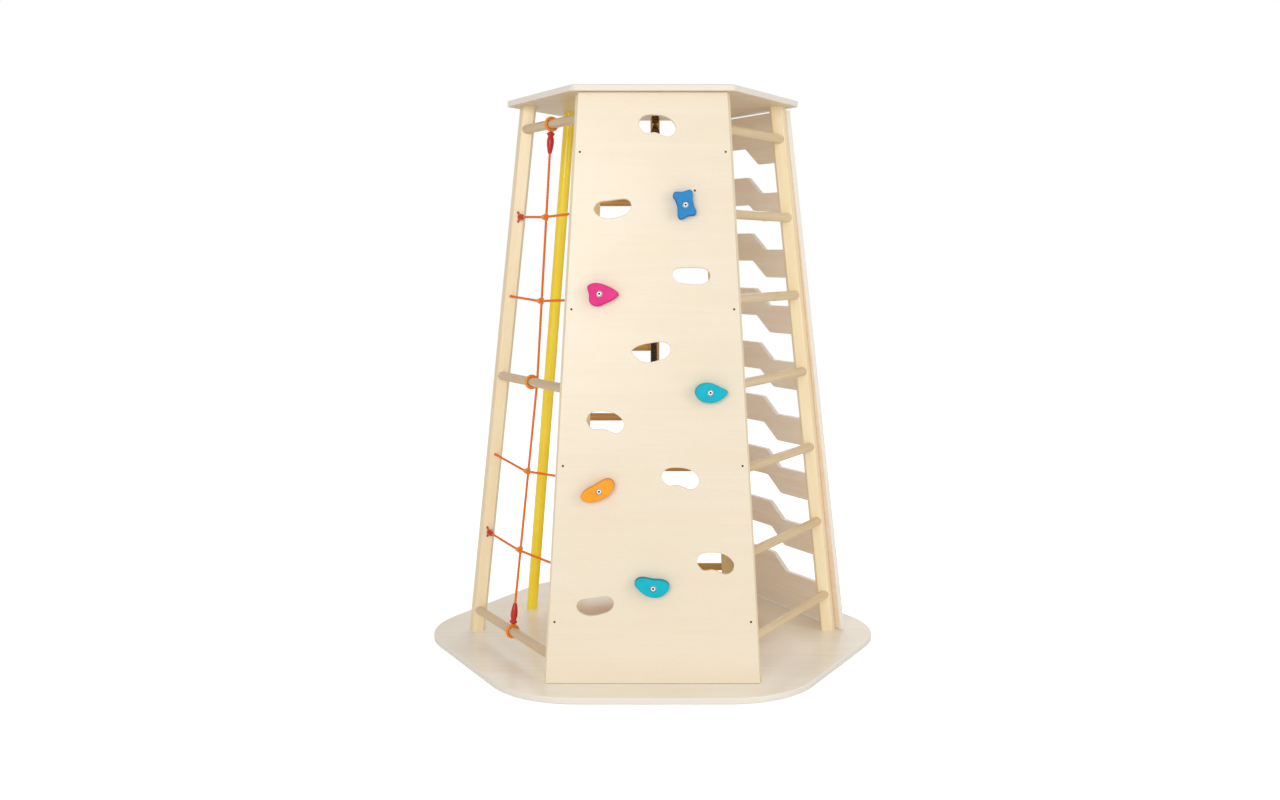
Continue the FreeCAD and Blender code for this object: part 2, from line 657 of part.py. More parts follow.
def middle_clip(rope):
    """Ring clip with a lug that holds the upright rope behind the middle dowel."""
    z = NET_DOWEL_HEIGHTS["middle"]
    half = UP * (CLIP_LUG_LENGTH / 2)
    centre = rung_point(NET_FACE, z, 0, upright_offset(z))
    lug = rod(centre - half, centre + half, CLIP_LUG_RADIUS)
    bore = full_rung(NET_FACE, z, SOCKET_CLEARANCE)
    return net_clip(z).fuse(lug).removeSplitter().cut([rope, bore])


def end_crimp(name, rope):
    """Spindle-shaped crimp on the upright rope, beside the top or bottom clip."""
    z = NET_DOWEL_HEIGHTS[name]
    down = -1 if name == "top" else 1
    start_z = z + down * (CLIP_RADIUS + 0.5)
    start = rung_point(NET_FACE, start_z, 0, upright_offset(start_z))
    toward = rung_point(NET_FACE, NET_DOWEL_HEIGHTS["middle"], 0, upright_offset(NET_DOWEL_HEIGHTS["middle"]))
    return turned(CRIMP_PROFILE, start, toward - start).cut(rope)


def side_crimp(post_z, middle_z, rope):
    start = crimp_station(post_z, SIDE_CRIMP_GAP - NET_ROPE_RADIUS)
    return turned(SIDE_CRIMP_PROFILE, start, crossing(middle_z) - start).cut(rope)


def cross_clip(middle_z, ropes):
    """Round clip that holds the two ropes of a crossing together."""
    centre = (crossing(middle_z) + rung_point(NET_FACE, middle_z, 0, upright_offset(middle_z))) * 0.5
    return Part.makeSphere(CROSS_CLIP_RADIUS, centre).cut(ropes)


# ---------------------------------------------------------------- hanger and climbing rope
SWAY_PIN = Vector(HANGER_X, 0, HEIGHT - SWAY_PIN_DROP)
SWING_PIN = Vector(HANGER_X, 0, HEIGHT - SWING_PIN_DROP)
ACROSS = Vector(1, 0, 0)
ALONG = Vector(0, 1, 0)
EAR_INNER = LINK_HALF + LINK_GAP
SWIVEL_TOP = SWING_PIN.z - LINK_HALF - SWIVEL_FLOOR_GAP
SWIVEL_BOTTOM = SWIVEL_TOP - SWIVEL_FLOOR
CUP_TOP = SWIVEL_BOTTOM - NECK_LENGTH
CUP_MOUTH = CUP_TOP - CUP_LENGTH


def box_about(centre, half_x, half_y, low, high):
    return Part.makeBox(2 * half_x, 2 * half_y, high - low, Vector(centre.x - half_x, centre.y - half_y, low))


def cylinder_about(centre, axis, radius, half_length):
    return rod(centre - axis * half_length, centre + axis * half_length, radius)


def headed_pin(centre, axis, half_length):
    pin = cylinder_about(centre, axis, PIN_RADIUS, half_length)
    for side in (-1, 1):
        start = centre + axis * (side * half_length)
        pin = pin.fuse(rod(start, start + axis * (side * PIN_HEAD_HEIGHT), PIN_HEAD_RADIUS))
    return pin.removeSplitter()


def bracket_screws(grow=0.0):
    screws = []
    for k in range(4):
        head = Vector(HANGER_X, 0, HEIGHT - BRACKET_THICKNESS) + polar(BRACKET_SCREW_CIRCLE, 45 + 90 * k)
        screws.append(wood_screw(head, UP, BRACKET_SCREW_LENGTH, grow))
    return screws


def ceiling_bracket():
    """Round plate with two ears that hold the sway pin."""
    under = HEIGHT - BRACKET_THICKNESS
    bracket = Part.makeCylinder(BRACKET_RADIUS, BRACKET_THICKNESS, Vector(HANGER_X, 0, under))
    for side in (-1, 1):
        centre = SWAY_PIN + ALONG * (side * (EAR_INNER + EAR_THICKNESS / 2))
        ear = cylinder_about(centre, ALONG, EAR_RADIUS, EAR_THICKNESS / 2)
        web = box_about(centre, EAR_RADIUS, EAR_THICKNESS / 2, SWAY_PIN.z, HEIGHT - BRACKET_THICKNESS / 2)
        bracket = bracket.fuse([ear, web])
    hole = cylinder_about(SWAY_PIN, ALONG, PIN_RADIUS + PIN_CLEARANCE, BRACKET_RADIUS)
    return bracket.removeSplitter().cut([hole] + bracket_screws(SCREW_CLEARANCE))


def hanger_link():
    """Link with two crossed holes: it sways on the upper pin and carries the lower one."""
    link = box_about(SWAY_PIN, LINK_HALF, LINK_HALF, SWING_PIN.z, SWAY_PIN.z)
    link = link.fuse([cylinder_about(SWAY_PIN, ALONG, LINK_HALF, LINK_HALF),
                      cylinder_about(SWING_PIN, ACROSS, LINK_HALF, LINK_HALF)])
    bores = [cylinder_about(SWAY_PIN, ALONG, PIN_RADIUS + PIN_CLEARANCE, EAR_INNER),
             cylinder_about(SWING_PIN, ACROSS, PIN_RADIUS + PIN_CLEARANCE, EAR_INNER)]
    return link.removeSplitter().cut(bores)


def swivel_block():
    """Fork below the link, with a floor that the rope cup's neck turns in."""
    outer = EAR_INNER + CHEEK_THICKNESS
    block = box_about(SWING_PIN, outer, CHEEK_RADIUS, SWIVEL_BOTTOM, SWIVEL_TOP)
    for side in (-1, 1):
        centre = SWING_PIN + ACROSS * (side * (EAR_INNER + CHEEK_THICKNESS / 2))
        cheek = cylinder_about(centre, ACROSS, CHEEK_RADIUS, CHEEK_THICKNESS / 2)
        web = box_about(centre, CHEEK_THICKNESS / 2, CHEEK_RADIUS, SWIVEL_BOTTOM, SWING_PIN.z)
        block = block.fuse([cheek, web])
    axis_low = Vector(HANGER_X, 0, SWIVEL_BOTTOM)
    pin_hole = cylinder_about(SWING_PIN, ACROSS, PIN_RADIUS + PIN_CLEARANCE, BRACKET_RADIUS)
    bore = Part.makeCylinder(NECK_RADIUS + PIN_CLEARANCE, SWIVEL_FLOOR, axis_low)
    head_room = NECK_HEAD_HEIGHT + 2 * LINK_GAP
    head_recess = Part.makeCylinder(NECK_HEAD_RADIUS + LINK_GAP, head_room,
                                    Vector(HANGER_X, 0, SWIVEL_TOP - head_room))
    return block.removeSplitter().cut([pin_hole, bore, head_recess])


def rope_cup():
    """Bell-shaped cup on a headed neck; the rope's end is glued inside."""
    head_low = SWIVEL_TOP - LINK_GAP - NECK_HEAD_HEIGHT
    profile = [(NECK_HEAD_RADIUS, head_low + NECK_HEAD_HEIGHT), (NECK_HEAD_RADIUS, head_low),
               (NECK_RADIUS, head_low), (NECK_RADIUS, CUP_TOP), (NECK_RADIUS + 2, CUP_TOP),
               (CUP_RADIUS * 0.62, CUP_TOP - CUP_SHOULDER * 0.3),
               (CUP_RADIUS * 0.88, CUP_TOP - CUP_SHOULDER * 0.7),
               (CUP_RADIUS, CUP_TOP - CUP_SHOULDER), (CUP_RADIUS, CUP_MOUTH)]
    cup = turned(profile, Vector(HANGER_X, 0, 0), UP)
    mouth = Vector(HANGER_X, 0, CUP_MOUTH)
    return cup.cut(Part.makeCylinder(ROPE_RADIUS + ROPE_FIT, CUP_LENGTH - CUP_CEILING, mouth))


def climbing_rope():
    points = [Vector(HANGER_X, 0, CUP_TOP - CUP_CEILING)]
    points += [Vector(HANGER_X + x, y, z) for x, y, z in ROPE_BENDS + [ROPE_END]]
    return cord(points, ROPE_RADIUS)


def rope_end_knot():
    x, y, z = ROPE_END
    tail = END_KNOT_PROFILE[-1]
    profile = END_KNOT_PROFILE + [(tail[0], tail[1] - END_KNOT_TAIL)]
    return turned(profile, Vector(HANGER_X + x, y, z), UP)


# ---------------------------------------------------------------- assembly
def build():
    parts = {}
    grown = SOCKET_CLEARANCE

    # rungs, dowels and pole, with the room that each needs in what holds it
    sockets = []
    for number, z in enumerate(LADDER_HEIGHTS, 1):
        parts["ladder_rung_%d" % number] = full_rung(LADDER_FACE, z)
        sockets.append(full_rung(LADDER_FACE, z, grown))
    for name, z in NET_DOWEL_HEIGHTS.items():
        parts["net_dowel_" + name] = full_rung(NET_FACE, z)
        sockets.append(full_rung(NET_FACE, z, grown))
    for lane, heights, side in (("left", LEFT_LANE_HEIGHTS, 1), ("right", RIGHT_LANE_HEIGHTS, -1)):
        parts["rear_rungs_" + lane] = Part.makeCompound([lane_rung(z, side) for z in heights])
        sockets += [lane_rung(z, side, grown) for z in heights]
    parts["pole"] = pole()
    sockets.append(pole(grown))

    # rope net
    upright = net_upright_rope()
    parts["net_upright_rope"] = upright
    net_ropes = [upright]
    crimps = []
    for number, (post_z, middle_z, crimped) in enumerate(CROSS_ROPES, 1):
        rope = cross_rope(post_z, middle_z, crimped)
        parts["net_cross_rope_%d" % number] = rope
        net_ropes.append(rope)
        sockets.append(cross_rope(post_z, middle_z, crimped, ROPE_HOLE_CLEARANCE))
        if crimped:
            crimps.append(side_crimp(post_z, middle_z, rope))
    parts["net_side_crimps"] = Part.makeCompound(crimps)
    clips = [cross_clip(middle_z, net_ropes) for _, middle_z, _ in CROSS_ROPES]
    parts["net_cross_clips"] = Part.makeCompound(clips)
    parts["net_clip_top"] = net_clip(NET_DOWEL_HEIGHTS["top"])
    parts["net_clip_middle"] = middle_clip(upright)
    parts["net_clip_bottom"] = net_clip(NET_DOWEL_HEIGHTS["bottom"])
    for name in ("top", "bottom"):
        parts["net_crimp_" + name] = end_crimp(name, upright)

    # fasteners
    under = (0.0, 1)
    over = (HEIGHT + TOP_THICKNESS, -1)
    wall_screws = screw_row(WALL_FACE, WALL_SCREW_HEIGHTS, WALL_THICKNESS) + [cleat_screw()]
    parts["climbing_wall_screws"] = Part.makeCompound(wall_screws)
    parts["step_board_screws"] = Part.makeCompound(
        screw_row(STEP_BOARD_FACE, BOARD_SCREW_HEIGHTS, BOARD_THICKNESS))
    parts["base_plate_screws"] = Part.makeCompound(plate_screws(*under))
    parts["top_plate_screws"] = Part.makeCompound(plate_screws(*over))
    parts["bracket_screws"] = Part.makeCompound(bracket_screws())
    fit = SCREW_CLEARANCE
    screw_room = screw_row(WALL_FACE, WALL_SCREW_HEIGHTS, WALL_THICKNESS, fit)
    screw_room += screw_row(STEP_BOARD_FACE, BOARD_SCREW_HEIGHTS, BOARD_THICKNESS, fit)
    screw_room += [cleat_screw(fit)]
    screw_room += plate_screws(*under, fit) + plate_screws(*over, fit) + bracket_screws(fit)

    # holds with their bolts
    hold_room = []
    washers = []
    bolts = []
    nuts = []
    for name, (x, z, outline) in HOLDS.items():
        parts["hold_" + name] = on_wall(hold(outline), x, z)
        washers.append(on_wall(hold_washer(), x, z))
        bolts.append(on_wall(hold_bolt(), x, z))
        nuts.append(on_wall(tee_nut(), x, z))
        hold_room.append(on_wall(bolt_room(), x, z))
    parts["hold_washers"] = Part.makeCompound(washers)
    parts["hold_bolts"] = Part.makeCompound(bolts)
    parts["hold_tee_nuts"] = Part.makeCompound(nuts)

    # boards, plates and posts
    room = sockets + screw_room
    parts["climbing_wall"] = seated(climbing_wall(), screw_room + hold_room)
    parts["step_board"] = seated(step_board(), screw_room)
    parts["base_plate"] = seated(plate(BASE_RADIUS, BASE_CORNER, 0, BASE_THICKNESS), room)
    parts["top_plate"] = seated(plate(TOP_RADIUS, TOP_CORNER, HEIGHT, TOP_THICKNESS), room)
    for name, azimuth in POST_AZIMUTHS.items():
        parts["post_" + name] = seated(post(azimuth), room)
    parts["rear_upright"] = seated(rear_upright(), room)
    parts["pole"] = seated(parts["pole"], screw_room)

    # hanger and climbing rope
    parts["ceiling_bracket"] = ceiling_bracket()
    parts["sway_pin"] = headed_pin(SWAY_PIN, ALONG, EAR_INNER + EAR_THICKNESS)
    parts["hanger_link"] = hanger_link()
    parts["swing_pin"] = headed_pin(SWING_PIN, ACROSS, EAR_INNER + CHEEK_THICKNESS)
    parts["swivel_block"] = swivel_block()
    parts["rope_cup"] = rope_cup()
    parts["climbing_rope"] = climbing_rope()
    parts["rope_end_knot"] = rope_end_knot()
    return parts


os.makedirs("parts", exist_ok=True)
for node, shape in build().items():
    shape.exportStep("parts/%s.step" % node)
    print("%-22s solids %d  volume %.0f" % (node, len(shape.Solids), shape.Volume))
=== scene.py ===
"""Looks of a hexagonal climbing tower for small children: birch boards, posts and rungs, resin holds, a rope
net with moulded clips, and a braided climbing rope on a bronzed swivel.

Metres, +Z up, the climbing wall towards -Y.  Azimuths go from +X towards +Y.
"""
import math
import bmesh
import bpy
from mathutils import Matrix, Vector


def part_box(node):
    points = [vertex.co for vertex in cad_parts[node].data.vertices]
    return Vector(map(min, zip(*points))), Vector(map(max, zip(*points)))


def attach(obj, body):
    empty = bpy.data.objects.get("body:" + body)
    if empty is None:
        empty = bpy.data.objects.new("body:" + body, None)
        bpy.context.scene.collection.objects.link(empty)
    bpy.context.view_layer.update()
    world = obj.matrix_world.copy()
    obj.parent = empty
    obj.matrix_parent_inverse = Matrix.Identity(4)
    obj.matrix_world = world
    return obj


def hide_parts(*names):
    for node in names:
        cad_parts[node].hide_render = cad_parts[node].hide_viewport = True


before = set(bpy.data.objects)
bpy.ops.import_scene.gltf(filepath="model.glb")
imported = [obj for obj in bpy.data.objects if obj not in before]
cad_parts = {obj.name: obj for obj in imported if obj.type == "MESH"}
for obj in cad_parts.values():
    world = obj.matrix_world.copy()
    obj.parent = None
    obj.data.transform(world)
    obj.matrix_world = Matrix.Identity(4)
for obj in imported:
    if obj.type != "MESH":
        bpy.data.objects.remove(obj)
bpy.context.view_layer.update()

# ---- the tower's driving sizes ----
HEIGHT = 1.650                      # underside of the top plate
FOOT_RADIUS = 0.587                 # outer edge of a post, at floor level
HEAD_RADIUS = 0.404                 # outer edge of a post, under the top plate
POST_WIDTH = 0.045
POLE_FOOT = 0.471                   # distance of the pole from the axis, low and high
POLE_HEAD = 0.303
WALL_FACE = 270
LADDER_FACE = 330
STEP_BOARD_FACE = 30
REAR_FACE = 90
POLE_FACE = 150
NET_FACE = 210
POST_AZIMUTHS = {"right": 0, "back_right": 60, "back_left": 120,
                 "left": 180, "front_left": 240, "front_right": 300}
COS30 = math.cos(math.radians(30))
SIN60 = math.sin(math.radians(60))

PLY = 0.0014                        # thickness of a layer of the plywood
SHADED_FLOOR_RADII = (0.26, 0.47)           # painted shade of the tower's inside darkens the base plate inside the first radius, not outside the second

# ---- rope net ----
DOWEL_INSET = 0.018                 # of a rung's line behind the posts' outer edges
DOWEL_RADIUS = 0.0135
NET_ROPE_RADIUS = 0.004
NET_STRANDS = 8
NET_TURN = 0.030                    # length in which a strand winds once round its rope
ROPE_GAP = 0.0003                   # between the upright rope and the middle dowel
CLIP_RADIUS = 0.0225                # outside of a ring clip
CLIP_WIDTH = 0.010                  # along its dowel
NET_DOWELS = {"top": 1.582, "middle": 0.830, "bottom": 0.083}
CROSS_ROPES = [                     # height at the posts, height at the crossing, crimped at its left end
    (1.318, 1.313, True),
    (1.077, 1.068, False),
    (0.585, 0.564, False),
    (0.338, 0.329, True),
]
SIDE_CRIMP_GAP = 0.012              # between a side crimp and its post
LEG_SPREAD = 0.0154                 # of a forked rope's two legs, above and below its line at the socket
LEG_REACH = 0.8                     # share of the way to the socket that a leg goes
ROPE_SOCKET = 0.016                 # how far a rope goes into a post
CRIMP_GAP = 0.0005                  # between a spindle crimp and its ring clip
CROSS_CLIP_RADIUS = 0.0092

# ---- turned profiles: radius, distance along the rope ----
CROSS_CLIP_COLLAR = [(0.0062, 0.0), (0.0062, 0.0080), (0.0056, 0.0098)]
RING_EYE = [(0.0064, -0.0075), (0.0072, -0.004), (0.0072, 0.004), (0.0064, 0.0075)]
SPINDLE = [(0.0066, 0.0), (0.0108, 0.0035), (0.0112, 0.0070), (0.0078, 0.0125), (0.0096, 0.0190),
           (0.0104, 0.0290), (0.0092, 0.0430), (0.0066, 0.0560), (0.0052, 0.0618)]
SIDE_CRIMP = [(0.0068, 0.0), (0.0094, 0.004), (0.0096, 0.0100), (0.0086, 0.0190), (0.0066, 0.0270),
              (0.0052, 0.0300)]

# ---- climbing rope ----
ROPE_RADIUS = 0.010
ROPE_STRANDS = 16
ROPE_TURN = 0.075
ROPE_ROUTE = [(0.008, 0, 1.586), (0.008, 0, 1.440), (0.0058, 0.002, 1.240), (0.0034, -0.001, 1.010),
              (0.0046, -0.0036, 0.780), (0.0088, 0.0006, 0.560), (0.0066, 0.0026, 0.370),
              (0.0066, 0.0026, 0.262)]
KNOT_DROP = 0.026                   # of the knot's middle below the rope's end
KNOT_WIDTH = 0.0056                 # a third of the loops' reach from their middle
KNOT_DEPTH = 0.0057
KNOT_SWEEP = 149.86                 # of the loops each way, in degrees
KNOT_STEPS = 24

# ---- view and light ----
CAMERA_PLACE = (-0.002, -3.896, 1.201)
CAMERA_PITCH = -0.11467             # below the horizon, in radians
CAMERA_LENS = 35.26
CAMERA_SHIFT = -0.0094
AMBIENT = 0.60                      # strength of the light from all round
SOFT_BOXES = {                      # place, width and height, watts, colour
    "key": ((-1.6, -6.2, 2.4), (3.0, 2.4), 108, (1.0, 0.985, 0.96)),
    "fill": ((4.2, -3.2, 2.0), (2.0, 3.0), 48, (0.98, 0.99, 1.0)),
    "back": ((0.5, 4.6, 3.2), (3.0, 2.0), 44, (1.0, 1.0, 1.0)),
}
FLOOR_SIZE = 30.0
FLOOR_LEVEL = -0.0006               # just under the base plate
FLOOR_GLOW = 0.46                   # strength of the floor's own light
BLACK = (0.0, 0.0, 0.0, 1.0)
WHITE = (1.0, 1.0, 1.0, 1.0)


# ---------------------------------------------------------------- places on the tower
def polar(radius, azimuth, z=0.0):
    """Point at a distance from the axis, in the direction of an azimuth in degrees."""
    angle = math.radians(azimuth)
    return Vector((radius * math.cos(angle), radius * math.sin(angle), z))


def post_radius(z):
    """Distance of the posts' outer edges from the axis."""
    return FOOT_RADIUS + (HEAD_RADIUS - FOOT_RADIUS) * z / HEIGHT


def rung_point(face, z, across=0.0, inward=0.0):
    """Point on the line of a rung, moved along the face and towards the axis."""
    apothem = (post_radius(z) - DOWEL_INSET) * COS30
    return polar(apothem - inward, face, z) + polar(across, face + 90)


def clear_half(z):
    """Half the clear distance between two posts, along the line of their rungs."""
    return (post_radius(z) - DOWEL_INSET) / 2 - POST_WIDTH / 2 / SIN60


def axes(x_axis, z_axis, origin):
    """Placement whose X runs along one direction and whose Z is as near as can be to another."""
    x = x_axis.normalized()
    y = z_axis.cross(x).normalized()
    z = x.cross(y)
    turn = Matrix((x, y, z)).transposed().to_4x4()
    return Matrix.Translation(origin) @ turn


def face_axes(face):
    """Placement of a board on a leaning face: X along the face, Z outwards."""
    foot = polar(FOOT_RADIUS * COS30, face)
    head = polar(HEAD_RADIUS * COS30, face, HEIGHT)
    across = polar(1, face + 90)
    return axes(across, across.cross(head - foot), foot)


def post_axes(azimuth):
    """Placement of a post: X up its length, Z outwards."""
    foot = polar(FOOT_RADIUS, azimuth)
    return axes(polar(HEAD_RADIUS, azimuth, HEIGHT) - foot, polar(1, azimuth), foot)


def rung_axes(face):
    """Placement of a face's rungs: X along them."""
    return axes(polar(1, face + 90), Vector((0, 0, 1)), polar(FOOT_RADIUS * COS30, face))


def pole_axes():
    """Placement of the pole: X up its length, Z outwards."""
    foot = polar(POLE_FOOT, POLE_FACE)
    return axes(polar(POLE_HEAD, POLE_FACE, HEIGHT) - foot, polar(1, POLE_FACE), foot)


LEVEL = Matrix.Identity(4)


# ---------------------------------------------------------------- shader helpers
def screen(red, green, blue):
    """Shader colour of a screen colour of 0 to 255."""
    shares = [value / 255 for value in (red, green, blue)]
    light = [share / 12.92 if share <= 0.04045 else ((share + 0.055) / 1.055) ** 2.4 for share in shares]
    return light + [1.0]


def add(tree, kind, inputs=None, **settings):
    """New node: its settings, and for each named input a value or the socket that feeds it."""
    made = tree.nodes.new(kind)
    for key, value in settings.items():
        setattr(made, key, value)
    for key, value in (inputs or {}).items():
        if isinstance(value, bpy.types.NodeSocket):
            tree.links.new(value, made.inputs[key])
        else:
            made.inputs[key].default_value = value
    return made


def calc(tree, operation, *values):
    """Result of one sum on values or sockets."""
    return add(tree, "ShaderNodeMath", dict(enumerate(values)), operation=operation).outputs[0]


def weighed(tree, *pairs):
    """Sum of values, each times its weight."""
    terms = [calc(tree, "MULTIPLY", value, weight) for value, weight in pairs]
    total = terms[0]
    for term in terms[1:]:
        total = calc(tree, "ADD", total, term)
    return total


def part(tree, vector, axis):
    """One of a vector's X, Y and Z."""
    return add(tree, "ShaderNodeSeparateXYZ", {0: vector}).outputs[axis]


def span(tree, value, low, high, to_low=0.0, to_high=1.0):
    """The value carried from one range to another, smoothly and without going past its ends."""
    inputs = {"Value": value, "From Min": low, "From Max": high, "To Min": to_low, "To Max": to_high}
    return add(tree, "ShaderNodeMapRange", inputs, interpolation_type="SMOOTHSTEP").outputs[0]


def mix(tree, share, first, second, how="MIX"):
    """The first colour, with a share of the second mixed in or multiplied over it."""
    inputs = {0: share, 6: first, 7: second}
    return add(tree, "ShaderNodeMix", inputs, data_type="RGBA", blend_type=how).outputs[2]


def stretched(tree, place, scale):
    """Place multiplied by a number for each axis, for a noise that is finer along some than along others."""
    return add(tree, "ShaderNodeMapping", {"Vector": place, "Scale": scale}).outputs[0]


def noise(tree, place, scale=1.0, detail=3.0, roughness=0.55, distortion=0.0):
    """Soft random pattern of 0 to 1."""
    inputs = {"Vector": place, "Scale": scale, "Detail": detail, "Roughness": roughness,
              "Distortion": distortion}
    return add(tree, "ShaderNodeTexNoise", inputs).outputs[0]


def start_group(name, inputs, outputs):
    """Empty effect with named inputs and outputs: (tree, sockets that come in, node that goes out)."""
    tree = bpy.data.node_groups.new(name, "ShaderNodeTree")
    for label, kind in inputs.items():
        tree.interface.new_socket(label, in_out="INPUT", socket_type="NodeSocket" + kind)
    for label, kind in outputs.items():
        tree.interface.new_socket(label, in_out="OUTPUT", socket_type="NodeSocket" + kind)
    return tree, tree.nodes.new("NodeGroupInput").outputs, tree.nodes.new("NodeGroupOutput")


def finish_group(tree, out, **results):
    """Links what the effect puts out, and gives its finished tree."""
    for label, socket in results.items():
        tree.links.new(socket, out.inputs[label])
    return tree


# ---------------------------------------------------------------- effects that several finishes share
def birch_figure():
    """Peeled birch: soft streaks along X, slow clouds of tone and fine dark pores."""
    tree, given, out = start_group(
        "birch figure", {"Place": "Vector", "Pale": "Color", "Warm": "Color", "Strength": "Float"},
        {"Colour": "Color", "Height": "Float"})
    place = given["Place"]
    streaks = noise(tree, stretched(tree, place, (1.6, 26, 26)), detail=6.0, roughness=0.62, distortion=0.7)
    lines = noise(tree, stretched(tree, place, (5, 160, 160)), roughness=0.5, distortion=0.2)
    clouds = noise(tree, place, 3.2, detail=2.0)
    pores = span(tree, noise(tree, stretched(tree, place, (90, 1500, 1500)), detail=2.0), 0.60, 0.74)
    tone = span(tree, weighed(tree, (streaks, 0.55), (clouds, 0.30), (lines, 0.25)), 0.36, 0.74)
    colour = mix(tree, calc(tree, "MULTIPLY", tone, given["Strength"]), given["Pale"], given["Warm"])
    shade = calc(tree, "SUBTRACT", 1.0, calc(tree, "MULTIPLY", pores, 0.10))
    grey = add(tree, "ShaderNodeCombineColor", {0: shade, 1: shade, 2: shade}).outputs[0]
    colour = mix(tree, 1.0, colour, grey, "MULTIPLY")
    height = calc(tree, "SUBTRACT", calc(tree, "MULTIPLY", lines, 0.5), calc(tree, "MULTIPLY", pores, 0.6))
    return finish_group(tree, out, Colour=colour, Height=height)


def ply_layers():
    """Cut edge of plywood: where a surface faces along the board, its layers show as stripes across Z."""
    tree, given, out = start_group(
        "ply layers", {"Place": "Vector", "Facing": "Vector", "Ply": "Float"},
        {"Edge": "Float", "Layer": "Float", "Glue": "Float"})
    facing = part(tree, given["Facing"], "Z")
    edge = span(tree, calc(tree, "ABSOLUTE", facing), 0.80, 0.55)
    level = part(tree, given["Place"], "Z")
    wander = calc(tree, "MULTIPLY", noise(tree, given["Place"], 30.0, detail=2.0), 0.0006)
    depth = calc(tree, "ADD", calc(tree, "ADD", level, 1.0), wander)      # above zero everywhere
    wave = calc(tree, "DIVIDE", calc(tree, "PINGPONG", depth, given["Ply"]), given["Ply"])
    layer = span(tree, wave, 0.40, 0.60)
    middle = calc(tree, "ABSOLUTE", calc(tree, "SUBTRACT", wave, 0.5))
    glue = span(tree, middle, 0.10, 0.02)
    return finish_group(tree, out, Edge=edge, Layer=layer, Glue=glue)


def end_grain():
    """Sawn end of a bar or dowel that runs along X: growth rings and a darker, thirstier surface."""
    tree, given, out = start_group(
        "end grain", {"Place": "Vector", "Facing": "Vector"}, {"End": "Float", "Rings": "Float"})
    facing = part(tree, given["Facing"], "X")
    end = span(tree, calc(tree, "ABSOLUTE", facing), 0.72, 0.92)
    flat = stretched(tree, given["Place"], (0, 1, 1))
    inputs = {"Vector": flat, "Scale": 90.0, "Distortion": 1.5, "Detail": 2.0}
    rings = add(tree, "ShaderNodeTexWave", inputs, wave_type="RINGS", rings_direction="X").outputs["Fac"]
    return finish_group(tree, out, End=end, Rings=rings)


def handling():
    """Uneven lacquer and the touch of hands: a slow change of gloss with finer smears in it."""
    tree, given, out = start_group("handling", {"Place": "Vector"}, {"Smear": "Float"})
    slow = noise(tree, given["Place"], 6.0, detail=2.0)
    fine = noise(tree, stretched(tree, given["Place"], (40, 90, 90)), detail=4.0)
    return finish_group(tree, out, Smear=weighed(tree, (slow, 0.6), (fine, 0.4)))


def cast_grain():
    """Sand-cast or spark-eroded surface: fine even grit and a few larger specks."""
    tree, given, out = start_group("cast grain", {"Place": "Vector", "Scale": "Float"},
                                   {"Grit": "Float", "Specks": "Float"})
    grit = noise(tree, given["Place"], given["Scale"], detail=4.0, roughness=0.65)
    cells = add(tree, "ShaderNodeTexVoronoi", {"Vector": given["Place"], "Scale": given["Scale"]})
    specks = span(tree, cells.outputs["Distance"], 0.22, 0.10)
    return finish_group(tree, out, Grit=grit, Specks=specks)


def spun_fibre():
    """Yarn of a braided rope: fine filaments, lighter where they stand up, and a little lint."""
    tree, given, out = start_group("spun fibre", {"Place": "Vector", "Scale": "Float"},
                                   {"Filament": "Float", "Lint": "Float"})
    scaled = calc(tree, "MULTIPLY", given["Scale"], 0.2)
    filament = noise(tree, given["Place"], given["Scale"], detail=5.0, roughness=0.7, distortion=1.2)
    lint = span(tree, noise(tree, given["Place"], scaled), 0.55, 0.75)
    return finish_group(tree, out, Filament=filament, Lint=lint)


EFFECTS = {"birch_figure": birch_figure(), "ply_layers": ply_layers(), "end_grain": end_grain(),
           "handling": handling(), "cast_grain": cast_grain(), "spun_fibre": spun_fibre()}


def effect(tree, name, **inputs):
    """The outputs of a shared effect, placed in a material with its own values."""
    made = tree.nodes.new("ShaderNodeGroup")
    made.node_tree = EFFECTS[name]
    for key, value in inputs.items():
        if isinstance(value, bpy.types.NodeSocket):
            tree.links.new(value, made.inputs[key])
        else:
            made.inputs[key].default_value = value
    return made.outputs


# ---------------------------------------------------------------- finishes
def start_finish(name, place=LEVEL, **sockets):
    """New material: (material, tree, shader, place in the piece's own axes, facing in the same axes)."""
    material = bpy.data.materials.new(name)
    material.use_nodes = True
    tree = material.node_tree
    shader = tree.nodes["Principled BSDF"]
    for key, value in sockets.items():
        shader.inputs[key.replace("_", " ")].default_value = value
    turn = place.to_euler()
    coordinates = add(tree, "ShaderNodeTexCoord").outputs
    inputs = {"Vector": coordinates["Object"], "Location": place.translation, "Rotation": turn}
    local = add(tree, "ShaderNodeMapping", inputs, vector_type="TEXTURE").outputs[0]
    inputs = {"Vector": coordinates["Normal"], "Rotation": turn}
    facing = add(tree, "ShaderNodeMapping", inputs, vector_type="TEXTURE").outputs[0]
    return material, tree, shader, local, facing


def close_finish(tree, shader, colour, roughness, height, depth, strength=0.4):
    """Feeds the shader: colour, roughness, and a bump whose full height is depth, in metres."""
    tree.links.new(colour, shader.inputs["Base Color"])
    tree.links.new(roughness, shader.inputs["Roughness"])
    bump = add(tree, "ShaderNodeBump", {"Height": height, "Distance": depth, "Strength": strength})
    tree.links.new(bump.outputs[0], shader.inputs["Normal"])


